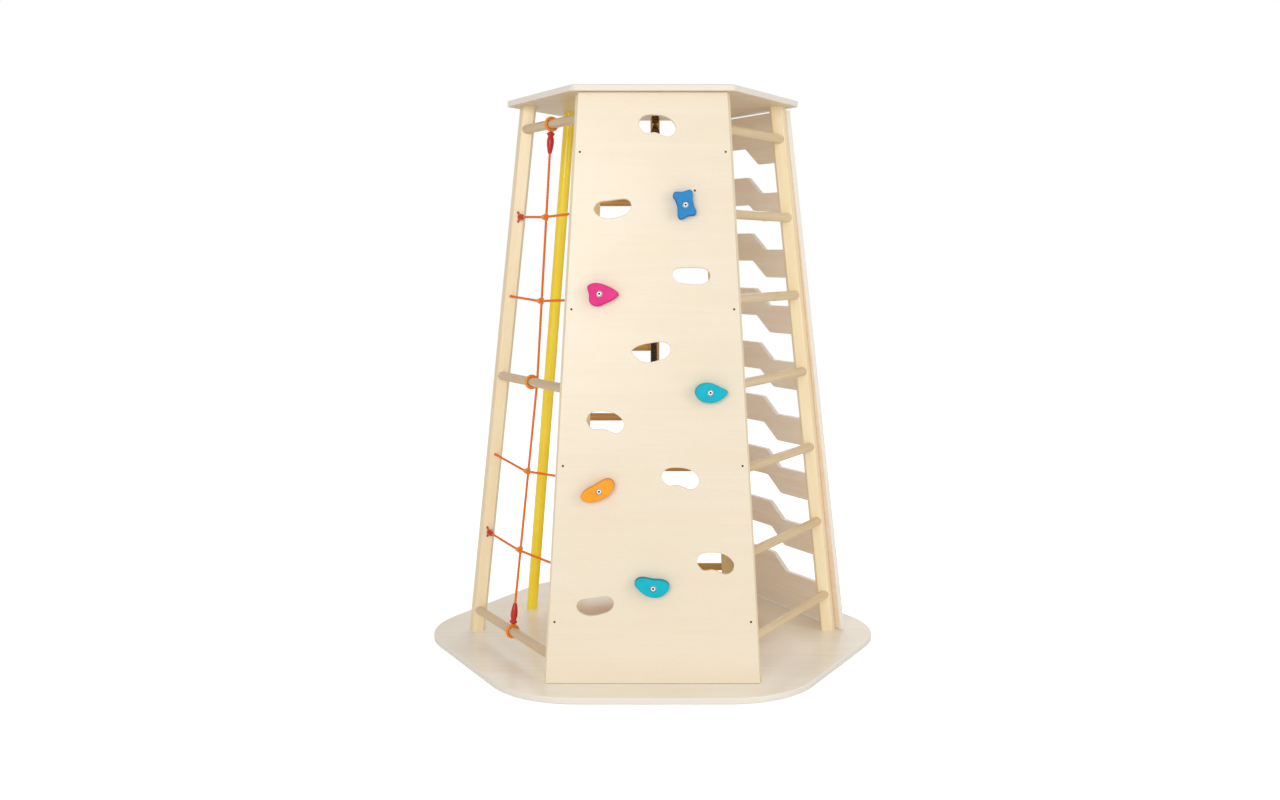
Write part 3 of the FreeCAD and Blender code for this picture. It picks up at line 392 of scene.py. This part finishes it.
def plywood(name, place, pale, warm, edge, figure=1.0, coat=0.35, wear_and_shade=None):
    """Lacquered birch plywood with its layers, paler and darker, on every cut edge.  The last argument, if
    given, is two radii about the axis: painted shade of the tower's inside darkens the wood inside the first,
    and not outside the second."""
    material, tree, shader, local, facing = start_finish(
        name, place, Coat_Weight=coat, Coat_Roughness=0.2, IOR=1.45)
    wood = effect(tree, "birch_figure", Place=local, Pale=pale, Warm=warm, Strength=figure)
    layers = effect(tree, "ply_layers", Place=local, Facing=facing, Ply=PLY)
    cut = mix(tree, layers["Layer"], screen(*edge[0]), screen(*edge[1]))
    cut = mix(tree, calc(tree, "MULTIPLY", layers["Glue"], 0.45), cut, screen(150, 112, 74))
    face = wood["Colour"]
    # painted shade: inside the first radius the base plate is darkened, with a ragged edge, as if the tower
    # kept the light from its inside
    if wear_and_shade:
        flat = stretched(tree, local, (1, 1, 0))
        radius = add(tree, "ShaderNodeVectorMath", {0: flat}, operation="LENGTH").outputs["Value"]
        ragged = calc(tree, "ADD", radius, calc(tree, "MULTIPLY", noise(tree, local, 7.0), 0.06))
        shaded_face = mix(tree, 1.0, face, screen(198, 150, 86), "MULTIPLY")
        face = mix(tree, span(tree, ragged, wear_and_shade[1], wear_and_shade[0]), face, shaded_face)
    colour = mix(tree, layers["Edge"], face, cut)
    smear = effect(tree, "handling", Place=local)["Smear"]
    gloss = span(tree, smear, 0.3, 0.7, 0.28, 0.40)
    roughness = calc(tree, "ADD", gloss, calc(tree, "MULTIPLY", layers["Edge"], 0.15))
    groove = calc(tree, "MULTIPLY", calc(tree, "MULTIPLY", layers["Glue"], layers["Edge"]), 1.5)
    close_finish(tree, shader, colour, roughness, calc(tree, "SUBTRACT", wood["Height"], groove),
                 depth=0.0002)
    return material


def solid_birch(name, place, pale, warm, sides=None):
    """Lacquered solid wood that runs along X, with growth rings on its ends.  Sides is a tone of painted
    shade multiplied over a bar's faces across Y, whose rounded edges then get a little brown painted shade as
    well."""
    material, tree, shader, local, facing = start_finish(
        name, place, Coat_Weight=0.3, Coat_Roughness=0.2, IOR=1.45)
    wood = effect(tree, "birch_figure", Place=local, Pale=pale, Warm=warm, Strength=1.0)
    colour = wood["Colour"]
    if sides:
        # painted shade: faces across Y are darker, and their rounded edges more brown, as if turned from the
        # light
        across = calc(tree, "ABSOLUTE", part(tree, facing, "Y"))
        colour = mix(tree, span(tree, across, 0.25, 0.75), colour, mix(tree, 1.0, colour, sides, "MULTIPLY"))
        shaded_arris = calc(tree, "MULTIPLY", span(tree, across, 0.20, 0.50), span(tree, across, 0.98, 0.88))
        colour = mix(tree, calc(tree, "MULTIPLY", shaded_arris, 0.2), colour, screen(206, 166, 116))
    ends = effect(tree, "end_grain", Place=local, Facing=facing)
    rings = mix(tree, ends["Rings"], screen(226, 196, 150), screen(190, 150, 100))
    colour = mix(tree, ends["End"], colour, rings)
    smear = effect(tree, "handling", Place=local)["Smear"]
    roughness = span(tree, smear, 0.3, 0.7, 0.30, 0.44)
    close_finish(tree, shader, colour, roughness, wood["Height"], depth=0.00025)
    return material


def stained_yellow():
    """Yellow stain under lacquer, with the wood's streaks and a few paler bands across the pole."""
    material, tree, shader, local, _ = start_finish(
        "yellow_stain", pole_axes(), Coat_Weight=0.5, Coat_Roughness=0.12, IOR=1.47)
    wood = effect(tree, "birch_figure", Place=local, Pale=screen(255, 238, 60), Warm=screen(254, 218, 30),
                  Strength=1.0)
    bands = span(tree, noise(tree, stretched(tree, local, (9, 0.4, 0.4))), 0.56, 0.72)
    colour = mix(tree, calc(tree, "MULTIPLY", bands, 0.35), wood["Colour"], screen(255, 234, 104))
    smear = effect(tree, "handling", Place=local)["Smear"]
    roughness = span(tree, smear, 0.3, 0.7, 0.24, 0.38)
    close_finish(tree, shader, colour, roughness, wood["Height"], depth=0.0002)
    return material


def paint(material, *names):
    """Gives the CAD nodes a finish."""
    for name in names:
        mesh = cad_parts[name].data
        mesh.materials.clear()
        mesh.materials.append(material)


def top_level(*nodes):
    """Distance of the outermost point of some nodes from the climbing wall's leaning plane."""
    to_wall = face_axes(WALL_FACE).inverted()
    return max((to_wall @ vertex.co).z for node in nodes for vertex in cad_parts[node].data.vertices)


def resin(name, colour, dark, shaded, *nodes):
    """Cast polyester climbing holds: gritty, with specks of slightly other tone, a crown smoothed by wear,
    and painted shade in a deeper tone down their sides and in the bolt's recess."""
    material, tree, shader, local, facing = start_finish(
        name, face_axes(WALL_FACE), IOR=1.5, Specular_IOR_Level=0.22)
    grain = effect(tree, "cast_grain", Place=local, Scale=1400.0)
    clouds = noise(tree, local, 35.0)
    tone = mix(tree, span(tree, clouds, 0.35, 0.75, 0.0, 0.5), colour, dark)
    tone = mix(tree, calc(tree, "MULTIPLY", grain["Specks"], 0.25), tone, dark)
    # painted shade: the sides and the bolt's recess take the shaded tone
    front = part(tree, facing, "Z")
    crown = top_level(*nodes)
    recess = span(tree, part(tree, local, "Z"), crown - 0.0016, crown - 0.0040)
    painted_shade = calc(tree, "MAXIMUM", span(tree, front, 0.85, 0.35), recess)
    tone = mix(tree, calc(tree, "MULTIPLY", painted_shade, 0.8), tone, shaded)
    roughness = calc(tree, "SUBTRACT", span(tree, grain["Grit"], 0.3, 0.7, 0.52, 0.66),
                     span(tree, front, 0.8, 1.0, 0.0, 0.08))
    close_finish(tree, shader, tone, roughness, grain["Grit"], depth=0.0004, strength=0.5)
    paint(material, *nodes)


def moulded(name, colour, dark, rough):
    """Injection-moulded plastic: even colour, faint flow marks and a fine spark-eroded grain."""
    material, tree, shader, local, _ = start_finish(name, IOR=1.49)
    grain = effect(tree, "cast_grain", Place=local, Scale=2600.0)
    flow = noise(tree, stretched(tree, local, (60, 60, 200)), roughness=0.5, distortion=1.5)
    tone = mix(tree, span(tree, flow, 0.35, 0.8, 0.0, 0.7), colour, dark)
    roughness = span(tree, grain["Grit"], 0.3, 0.7, rough - 0.06, rough + 0.08)
    close_finish(tree, shader, tone, roughness, grain["Grit"], depth=0.0001, strength=0.25)
    return material


def braided(name, colour, dark, light, scale, sheen):
    """Braided synthetic rope: filaments in each strand, darker between them, with a soft sheen."""
    material, tree, shader, local, _ = start_finish(name, Sheen_Weight=sheen, Sheen_Roughness=0.5, IOR=1.4)
    fibre = effect(tree, "spun_fibre", Place=local, Scale=scale)
    tone = mix(tree, span(tree, fibre["Filament"], 0.35, 0.7), dark, colour)
    tone = mix(tree, calc(tree, "MULTIPLY", fibre["Lint"], 0.4), tone, light)
    roughness = span(tree, fibre["Filament"], 0.3, 0.7, 0.62, 0.82)
    close_finish(tree, shader, tone, roughness, fibre["Filament"], depth=0.0005, strength=0.6)
    return material


def metal(name, colour, wear_and_shade, rough, place=LEVEL, metallic=1.0, socket=None):
    """Plated or bronzed steel: turning marks, and a slow change of tone.  Socket is the level along the
    placement's Z below which painted shade darkens a screw's socket."""
    material, tree, shader, local, _ = start_finish(name, place, Metallic=metallic)
    marks = noise(tree, stretched(tree, local, (3000, 3000, 300)), detail=2.0)
    clouds = noise(tree, local, 60.0)
    tone = mix(tree, span(tree, clouds, 0.4, 0.7), colour, wear_and_shade)
    if socket:
        # painted shade in the screw's socket
        socket_shade = span(tree, part(tree, local, "Z"), socket, socket - 0.0006)
        tone = mix(tree, socket_shade, tone, screen(22, 22, 24))
    roughness = calc(tree, "ADD", span(tree, marks, 0.3, 0.7, rough - 0.07, rough + 0.07),
                     span(tree, clouds, 0.4, 0.7, 0.0, 0.06))
    close_finish(tree, shader, tone, roughness, marks, depth=0.00003, strength=0.3)
    return material


def pale_floor():
    """Matt studio floor, lifted to white by a glow that only the camera sees."""
    material, tree, shader, local, _ = start_finish("pale_floor", IOR=1.4, Emission_Strength=FLOOR_GLOW)
    seen = add(tree, "ShaderNodeLightPath").outputs["Is Camera Ray"]
    tree.links.new(mix(tree, seen, BLACK, WHITE), shader.inputs["Emission Color"])
    tone = mix(tree, noise(tree, local, 1.5, detail=2.0), screen(250, 249, 247), screen(246, 245, 243))
    roughness = span(tree, noise(tree, local, 4.0), 0.3, 0.7, 0.55, 0.65)
    close_finish(tree, shader, tone, roughness, noise(tree, local, 300.0, detail=2.0),
                 depth=0.0001, strength=0.2)
    return material


# ---------------------------------------------------------------- mesh helpers
def put_in_scene(name, data):
    """New object in the scene."""
    made = bpy.data.objects.new(name, data)
    bpy.context.scene.collection.objects.link(made)
    return made


def new_piece(name, mesh, body, slot, *stands_for):
    """Object of a finished mesh, riding on its body, with the CAD nodes that it stands for."""
    piece = put_in_scene(name, mesh)
    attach(piece, body)
    if stands_for:
        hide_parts(*stands_for)
    return piece


def mesh_of(holder, name):
    """Mesh of an object with its modifiers and bevels worked out; the object is then removed."""
    bpy.context.view_layer.update()
    evaluated = holder.evaluated_get(bpy.context.evaluated_depsgraph_get())
    mesh = bpy.data.meshes.new_from_object(evaluated)
    mesh.name = name
    data = holder.data
    bpy.data.objects.remove(holder)
    (bpy.data.curves if isinstance(data, bpy.types.Curve) else bpy.data.meshes).remove(data)
    return mesh


def finished(shape, name):
    """Mesh of a bmesh, which is then freed."""
    mesh = bpy.data.meshes.new(name)
    shape.to_mesh(mesh)
    shape.free()
    return mesh


def tidy_mesh(mesh, material):
    """Merged doubles, faces outwards and smooth, one material."""
    shape = bmesh.new()
    shape.from_mesh(mesh)
    bmesh.ops.remove_doubles(shape, verts=shape.verts, dist=1e-6)
    bmesh.ops.recalc_face_normals(shape, faces=shape.faces)
    for face in shape.faces:
        face.smooth = True
    shape.to_mesh(mesh)
    shape.free()
    mesh.materials.clear()
    mesh.materials.append(material)
    return mesh


def nurbs_curve(name, points):
    """Curve of one open smooth spline with the points as its control points."""
    curve = bpy.data.curves.new(name, "CURVE")
    curve.dimensions = "3D"
    spline = curve.splines.new("NURBS")
    spline.points.add(len(points) - 1)
    for knot, point in zip(spline.points, points):
        knot.co = (*point, 1.0)
    spline.order_u = 3
    spline.use_endpoint_u = True
    spline.resolution_u = 24
    return curve


def curve_line(points):
    """Points read from a route's smooth spline."""
    holder = put_in_scene("route", nurbs_curve("route", points))
    return [vertex.co.copy() for vertex in mesh_of(holder, "route").vertices]


def spaced(line, step):
    """Points along the line about a step apart, and the distance between them."""
    lengths = [0.0]
    for before, after in zip(line, line[1:]):
        lengths.append(lengths[-1] + (after - before).length)
    count = max(2, round(lengths[-1] / step))
    points = []
    index = 0
    for k in range(count + 1):
        target = lengths[-1] * k / count
        while index < len(line) - 2 and lengths[index + 1] < target:
            index += 1
        run = max(lengths[index + 1] - lengths[index], 1e-9)
        points.append(line[index].lerp(line[index + 1], min(1.0, (target - lengths[index]) / run)))
    return points, lengths[-1] / count


def across_axes(points):
    """For each point of a line, two directions across it that don't twist from one to the next."""
    ahead = (points[1] - points[0]).normalized()
    side = ahead.orthogonal().normalized()
    found = []
    for k in range(len(points)):
        before = points[max(0, k - 1)]
        after = points[min(len(points) - 1, k + 1)]
        ahead = (after - before).normalized()
        side = (side - ahead * side.dot(ahead)).normalized()
        found.append((side, ahead.cross(side)))
    return found


def braid(name, lines, material, radius, strands, turn_length, step):
    """Mesh of a round braid along each line: half its strands wind each way round a core, over and under one
    another, once round in each turn_length."""
    yarn = radius * 2.5 / strands       # radius of a strand
    sway = yarn * 0.35                  # its rise and fall as it goes over and under
    curve = bpy.data.curves.new(name, "CURVE")
    curve.dimensions = "3D"
    curve.bevel_depth = yarn
    curve.bevel_resolution = 1
    curve.use_fill_caps = True
    for line in lines:
        points, gap = spaced(line, step)
        sides = across_axes(points)
        core = curve.splines.new("POLY")
        core.points.add(len(points) - 1)
        for knot, point in zip(core.points, points):
            knot.co = (*point, 1.0)
            knot.radius = (radius - yarn) / yarn
        for strand in range(strands):
            way = 1 if strand % 2 else -1
            start = 2 * math.pi * (strand // 2) / (strands // 2)
            spline = curve.splines.new("POLY")
            spline.points.add(len(points) - 1)
            for k, (point, (side, up)) in enumerate(zip(points, sides)):
                wound = 2 * math.pi * k * gap / turn_length
                angle = start + way * wound
                lift = radius - yarn - sway + way * sway * math.cos(strands / 2 * wound)
                spline.points[k].co = (*(point + (side * math.cos(angle) + up * math.sin(angle)) * lift), 1.0)
    return tidy_mesh(mesh_of(put_in_scene(name, curve), name), material)


def spun(shape, profile, place, steps):
    """Adds a solid of revolution to a bmesh: (radius, distance along X) pairs about the placement's X."""
    verts = [shape.verts.new(place @ Vector((distance, radius, 0))) for radius, distance in profile]
    edges = [shape.edges.new(pair) for pair in zip(verts, verts[1:])]
    centre = place.translation
    axis = (place.to_3x3() @ Vector((1, 0, 0))).normalized()
    bmesh.ops.spin(shape, geom=verts + edges, cent=centre, axis=axis, angle=2 * math.pi, steps=steps,
                   use_merge=True)


def eased(profile, steps=6):
    """Smooth profile through the given pairs, with some steps from each to the next."""
    points = [profile[0]] + list(profile) + [profile[-1]]
    found = []
    for four in zip(points, points[1:], points[2:], points[3:]):
        for k in range(steps):
            t = k / steps
            weights = (-t + 2 * t * t - t ** 3, 2 - 5 * t * t + 3 * t ** 3,
                       t + 4 * t * t - 3 * t ** 3, t ** 3 - t * t)
            found.append(tuple(sum(w * pair[i] for w, pair in zip(weights, four)) / 2 for i in range(2)))
    return found + [profile[-1]]


def close_profile(profile):
    """The profile brought to the axis at both ends, so that its solid is closed."""
    return [(0.0, profile[0][1])] + list(profile) + [(0.0, profile[-1][1])]


def melded(name, shape, material, voxel, rounds):
    """Mesh of a moulding: the bmesh's closed solids grown into one skin, smoothed in rounds so that soft
    fillets join them."""
    bmesh.ops.remove_doubles(shape, verts=shape.verts, dist=1e-6)
    bmesh.ops.recalc_face_normals(shape, faces=shape.faces)
    holder = put_in_scene(name, finished(shape, name))
    remesh = holder.modifiers.new("skin", "REMESH")
    remesh.mode = "VOXEL"
    remesh.voxel_size = voxel
    mesh = mesh_of(holder, name)
    shape = bmesh.new()
    shape.from_mesh(mesh)
    for _ in range(rounds):
        bmesh.ops.smooth_vert(shape, verts=shape.verts, factor=0.5,
                              use_axis_x=True, use_axis_y=True, use_axis_z=True)
    shape.to_mesh(mesh)
    shape.free()
    return tidy_mesh(mesh, material)


# ---------------------------------------------------------------- camera, light and floor
def set_camera():
    data = bpy.data.cameras.new("camera")
    data.lens = CAMERA_LENS
    data.shift_x = CAMERA_SHIFT
    camera = put_in_scene("camera", data)
    camera.location = CAMERA_PLACE
    camera.rotation_euler = (math.pi / 2 + CAMERA_PITCH, 0, 0)
    bpy.context.scene.camera = camera


def soft_box(name, place, target, size, power, colour):
    """Wide lamp turned towards its target."""
    data = bpy.data.lights.new(name, "AREA")
    data.shape = "RECTANGLE"
    data.size = size[0]
    data.size_y = size[1]
    data.energy = power
    data.color = colour
    lamp = put_in_scene(name, data)
    lamp.location = place
    lamp.rotation_euler = (Vector(target) - Vector(place)).to_track_quat("-Z", "Y").to_euler()


def set_studio():
    """White backdrop, softer all-round light, three soft boxes and a pale floor."""
    bpy.context.scene.view_settings.view_transform = "Standard"
    world = bpy.data.worlds.new("studio")
    world.use_nodes = True
    tree = world.node_tree
    backdrop = add(tree, "ShaderNodeLightPath").outputs["Is Camera Ray"]
    strength = span(tree, backdrop, 0.0, 1.0, AMBIENT, 1.0)
    tree.nodes["Background"].inputs["Color"].default_value = WHITE
    tree.links.new(strength, tree.nodes["Background"].inputs["Strength"])
    bpy.context.scene.world = world
    for name, (place, size, power, colour) in SOFT_BOXES.items():
        soft_box(name, place, (0, 0, HEIGHT / 2), size, power, colour)
    ground = bmesh.new()
    bmesh.ops.create_grid(ground, x_segments=1, y_segments=1, size=FLOOR_SIZE)
    bmesh.ops.translate(ground, verts=ground.verts, vec=(0, 0, FLOOR_LEVEL))
    mesh = finished(ground, "floor")
    mesh.materials.append(pale_floor())
    put_in_scene("floor", mesh)


# ---------------------------------------------------------------- ropes
def hang_climbing_rope(material):
    """Free braided rope from its cup down to an overhand knot."""
    line = curve_line(ROPE_ROUTE)
    mesh = braid("climbing_rope_braid", [line], material, ROPE_RADIUS, ROPE_STRANDS, ROPE_TURN, step=0.003)
    rope = new_piece("climbing_rope_braid", mesh, "climbing_rope", "dark_rope", "climbing_rope")
    mesh = overhand_knot(material)
    knot = new_piece("climbing_rope_knot", mesh, "climbing_rope", "dark_rope", "rope_end_knot")


def overhand_knot(material):
    """The rope's end tied into itself, kept inside its solid, with its tail hanging out below."""
    low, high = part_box("rope_end_knot")
    x, y, top = ROPE_ROUTE[-1]
    middle = Vector((x, y, top - KNOT_DROP))
    loops = []
    for k in range(KNOT_STEPS + 1):
        t = math.radians(KNOT_SWEEP) * (2 * k / KNOT_STEPS - 1)
        loops.append(middle + Vector((KNOT_WIDTH * (math.sin(t) + 2 * math.sin(2 * t)),
                                      -KNOT_DEPTH * math.sin(3 * t),
                                      KNOT_WIDTH * (math.cos(t) - 2 * math.cos(2 * t)))))
    entry = [Vector((x, y, top + 0.004)), middle + Vector((0, 0, 0.018))]
    tail = [middle - Vector((0, 0, 0.022)), Vector((x, y, low.z + 0.001))]
    line = curve_line(entry + loops + tail)
    inside = [Vector((min(max(point.x, low.x + ROPE_RADIUS), high.x - ROPE_RADIUS),
                      min(max(point.y, low.y + ROPE_RADIUS), high.y - ROPE_RADIUS),
                      point.z)) for point in line]
    return braid("climbing_rope_knot", [inside], material, ROPE_RADIUS, ROPE_STRANDS, ROPE_TURN, step=0.002)


def upright_offset(z):
    """Distance of the net's upright rope behind the rung line."""
    middle = NET_DOWELS["middle"]
    end = NET_DOWELS["top"] - CLIP_RADIUS if z > middle else NET_DOWELS["bottom"] + CLIP_RADIUS
    return (DOWEL_RADIUS + NET_ROPE_RADIUS + ROPE_GAP) * (end - z) / (end - middle)


def upright_point(z):
    """Point on the line of the net's upright rope."""
    return rung_point(NET_FACE, z, 0, upright_offset(z))


def crossing(z):
    """Point on the line of a cross rope, where it goes in front of the upright rope."""
    return rung_point(NET_FACE, z, 0, upright_offset(z) - 2 * NET_ROPE_RADIUS)


def net_braid(name, lines, material):
    """Braid of the net's thinner rope."""
    return braid(name, lines, material, NET_ROPE_RADIUS, NET_STRANDS, NET_TURN, step=0.002)


def string_net(material):
    """Upright rope and four cross ropes, two of them forked behind their crimps."""
    levels = [NET_DOWELS["top"] - CLIP_RADIUS, NET_DOWELS["middle"], NET_DOWELS["bottom"] + CLIP_RADIUS]
    upright = [upright_point(z) for z in levels]
    mesh = net_braid("net_upright_braid", [upright], material)
    new_piece("net_upright_braid", mesh, "tower", "orange_rope", "net_upright_rope")
    for number, (post_z, middle_z, crimped) in enumerate(CROSS_ROPES, 1):
        far = clear_half(post_z) + ROPE_SOCKET
        right = rung_point(NET_FACE, post_z, far)
        lines = [[right, crossing(middle_z), rung_point(NET_FACE, post_z, -far)]]
        if crimped:
            fork = rung_point(NET_FACE, post_z, SIDE_CRIMP_GAP - clear_half(post_z))
            lines = [[right, crossing(middle_z), fork]]
            for way in (-1, 1):
                spread = Vector((0, 0, way * LEG_SPREAD))
                lines.append([fork, fork.lerp(rung_point(NET_FACE, post_z, -far) + spread, LEG_REACH)])
        name = "net_cross_braid_%d" % number
        mesh = net_braid(name, lines, material)
        new_piece(name, mesh, "tower", "orange_rope", "net_cross_rope_%d" % number)


def clip_crossings(material):
    """Moulded cross clips: a ball with a short collar round each of the four ropes that leave it."""
    for number, (post_z, middle_z, _) in enumerate(CROSS_ROPES, 1):
        front = crossing(middle_z)
        behind = upright_point(middle_z)
        shape = bmesh.new()
        bmesh.ops.create_uvsphere(shape, u_segments=32, v_segments=20, radius=CROSS_CLIP_RADIUS,
                                  matrix=Matrix.Translation((front + behind) / 2))
        # where each collar starts, and a point that it heads for
        runs = [(front, rung_point(NET_FACE, post_z, clear_half(post_z))),
                (front, rung_point(NET_FACE, post_z, -clear_half(post_z))),
                (behind, upright_point(middle_z + 0.1)),
                (behind, upright_point(middle_z - 0.1))]
        for start, toward in runs:
            along = axes(toward - start, Vector((0, 0.1, 1)), start)
            spun(shape, close_profile(CROSS_CLIP_COLLAR), along, steps=24)
        name = "net_cross_clip_%d" % number
        stands_for = ["net_cross_clips"] if number == 1 else []
        mesh = melded(name, shape, material, voxel=0.0006, rounds=6)
        new_piece(name, mesh, "tower", "orange_plastic", *stands_for)


def ring_clips(material):
    """Moulded rings on the net's dowels, the middle one with an eye for the upright rope."""
    for place, z in NET_DOWELS.items():
        shape = bmesh.new()
        centre = rung_point(NET_FACE, z)
        along = axes(polar(1, NET_FACE + 90), Vector((0, 0, 1)), centre)
        half = CLIP_WIDTH / 2
        middle = (CLIP_RADIUS + DOWEL_RADIUS) / 2
        thick = (CLIP_RADIUS - DOWEL_RADIUS) / 2 - 0.0002       # just clear of the dowel
        angles = [2 * math.pi * k / 24 for k in range(25)]
        ring = [(middle + thick * math.cos(angle), half * math.sin(angle)) for angle in angles]
        spun(shape, ring, along, steps=56)
        if place == "middle":
            upwards = axes(Vector((0, 0, 1)), polar(1, NET_FACE), upright_point(z))
            spun(shape, close_profile(RING_EYE), upwards, steps=24)
        name = "net_ring_" + place
        mesh = melded(name, shape, material, voxel=0.0007, rounds=4)
        new_piece(name, mesh, "tower", "orange_plastic", "net_clip_" + place)


def spindle_crimps(material):
    """Spindle-shaped crimps at both ends of the upright rope, with a bead at the ring clip."""
    middle = upright_point(NET_DOWELS["middle"])
    for place, way in (("top", -1), ("bottom", 1)):
        start = upright_point(NET_DOWELS[place] + way * (CLIP_RADIUS + CRIMP_GAP))
        shape = bmesh.new()
        along = axes(middle - start, polar(1, NET_FACE), start)
        spun(shape, close_profile(eased(SPINDLE)), along, steps=40)
        name = "net_spindle_" + place
        mesh = tidy_mesh(finished(shape, name), material)
        new_piece(name, mesh, "tower", "red_plastic", "net_crimp_" + place)


def side_crimps(material):
    """Small crimps that gather the forked ends of two cross ropes."""
    for number, (post_z, middle_z, crimped) in enumerate(CROSS_ROPES, 1):
        if crimped:
            start = rung_point(NET_FACE, post_z, SIDE_CRIMP_GAP - NET_ROPE_RADIUS - clear_half(post_z))
            shape = bmesh.new()
            along = axes(crossing(middle_z) - start, Vector((0, 0, 1)), start)
            spun(shape, close_profile(eased(SIDE_CRIMP)), along, steps=36)
            name = "net_side_crimp_%d" % number
            mesh = tidy_mesh(finished(shape, name), material)
            stands_for = ["net_side_crimps"] if number == 1 else []
            new_piece(name, mesh, "tower", "red_plastic", *stands_for)


# ---------------------------------------------------------------- finishes on the CAD nodes
def paint_boards():
    """Plywood of the wall, the step board and both plates, with the colours of their edges' two layers."""
    whitish = ((252, 248, 240), (240, 230, 216))
    creamy = ((250, 240, 220), (236, 218, 188))
    paint(plywood("wall_ply", face_axes(WALL_FACE), screen(243, 230, 208), screen(235, 215, 182), creamy,
                  figure=0.35), "climbing_wall")
    paint(plywood("step_board_ply", face_axes(STEP_BOARD_FACE), screen(255, 244, 231), screen(247, 230, 210),
                  whitish), "step_board")
    # the base plate gets painted shade inside the tower
    paint(plywood("base_ply", LEVEL, screen(255, 248, 234), screen(249, 237, 217), whitish,
                  wear_and_shade=SHADED_FLOOR_RADII), "base_plate")
    paint(plywood("top_ply", LEVEL, screen(236, 220, 192), screen(222, 200, 164), whitish,
                  coat=0.0), "top_plate")


def paint_bars():
    """Solid wood of the posts, the rear upright, the rungs and the pole, with painted shade: darker on the
    bars' sides, and browner towards the back, where the tower's inside is in shade.
    """
    # tones of painted shade on the bars' sides
    paler = screen(255, 250, 240)
    browner = screen(240, 222, 196)
    for name, azimuth in POST_AZIMUTHS.items():
        # painted shade: the back posts are browner, as the tower's inside is in shade
        if name.startswith("back"):
            tones = [screen(244, 220, 170), screen(230, 198, 142)]
        else:
            tones = [screen(255, 245, 218), screen(249, 230, 190)]
        paint(solid_birch("post_birch_" + name, post_axes(azimuth), *tones, paler), "post_" + name)
    # painted shade: the rear upright is brown with the shade of the tower's inside
    paint(solid_birch("upright_birch", post_axes(REAR_FACE), screen(218, 176, 112), screen(190, 140, 76),
                      browner), "rear_upright")
    rungs = ["ladder_rung_%d" % number for number in range(1, 8)]
    paint(solid_birch("ladder_beech", rung_axes(LADDER_FACE), screen(232, 208, 168), screen(214, 182, 134)),
          *rungs)
    paint(solid_birch("net_beech", rung_axes(NET_FACE), screen(222, 198, 162), screen(200, 170, 130)),
          "net_dowel_top", "net_dowel_middle", "net_dowel_bottom")
    # painted shade: the rear rungs are brown with the shade of the tower's inside
    paint(solid_birch("rear_beech", rung_axes(REAR_FACE), screen(208, 162, 92), screen(180, 128, 62)),
          "rear_rungs_left", "rear_rungs_right")
    paint(stained_yellow(), "pole")


def paint_holds():
    """Resin of the five holds: its colour, a darker one in it, and the tone of painted shade on their sides
    and in their recesses.
    """
    resin("blue_resin", screen(44, 142, 206), screen(26, 118, 186), screen(30, 96, 160), "hold_blue")
    resin("pink_resin", screen(238, 56, 142), screen(216, 34, 118), screen(176, 30, 98), "hold_pink")
    resin("orange_resin", screen(255, 168, 42), screen(244, 148, 28), screen(208, 116, 22), "hold_orange")
    resin("teal_resin", screen(0, 188, 208), screen(0, 168, 190), screen(0, 122, 142),
          "hold_teal_shell", "hold_teal_moon")


def paint_metal():
    """Fixings and the climbing rope's hanger."""
    wall = face_axes(WALL_FACE)
    paint(metal("zinc_plate", screen(206, 208, 212), screen(180, 182, 186), rough=0.30, place=wall),
          "hold_tee_nuts", "base_plate_screws", "top_plate_screws")
    # the bolts' sockets get painted shade
    paint(metal("bolt_steel", screen(255, 255, 255), screen(246, 247, 249), rough=0.40, place=wall,
                metallic=0.2, socket=top_level("hold_bolts") - 0.0003), "hold_bolts")
    paint(metal("zinc_washer", screen(255, 255, 255), screen(240, 242, 244), rough=0.40, place=wall,
                metallic=0.2), "hold_washers")
    paint(metal("black_screw", screen(58, 52, 46), screen(40, 36, 33), rough=0.45, place=wall),
          "climbing_wall_screws", "step_board_screws")
    paint(metal("bronzed_steel", screen(122, 92, 60), screen(70, 50, 36), rough=0.24),
          "ceiling_bracket", "hanger_link", "swivel_block", "rope_cup")
    paint(metal("bronzed_pin", screen(168, 140, 98), screen(104, 82, 58), rough=0.22),
          "sway_pin", "swing_pin", "bracket_screws")


# ---------------------------------------------------------------- the whole
set_camera()
hang_climbing_rope(braided("dark_rope", screen(70, 54, 46), screen(34, 26, 22), screen(110, 92, 80),
                           scale=1500.0, sheen=0.2))
set_studio()
paint_boards()
paint_bars()
paint_holds()
paint_metal()
string_net(braided("orange_rope", screen(255, 140, 36), screen(242, 108, 22), screen(255, 190, 116),
                   scale=2600.0, sheen=0.0))
clip_plastic = moulded("orange_plastic", screen(255, 150, 45), screen(246, 130, 30), rough=0.34)
crimp_plastic = moulded("red_plastic", screen(206, 44, 30), screen(176, 28, 20), rough=0.22)
clip_crossings(clip_plastic)
ring_clips(clip_plastic)
spindle_crimps(crimp_plastic)
side_crimps(crimp_plastic)
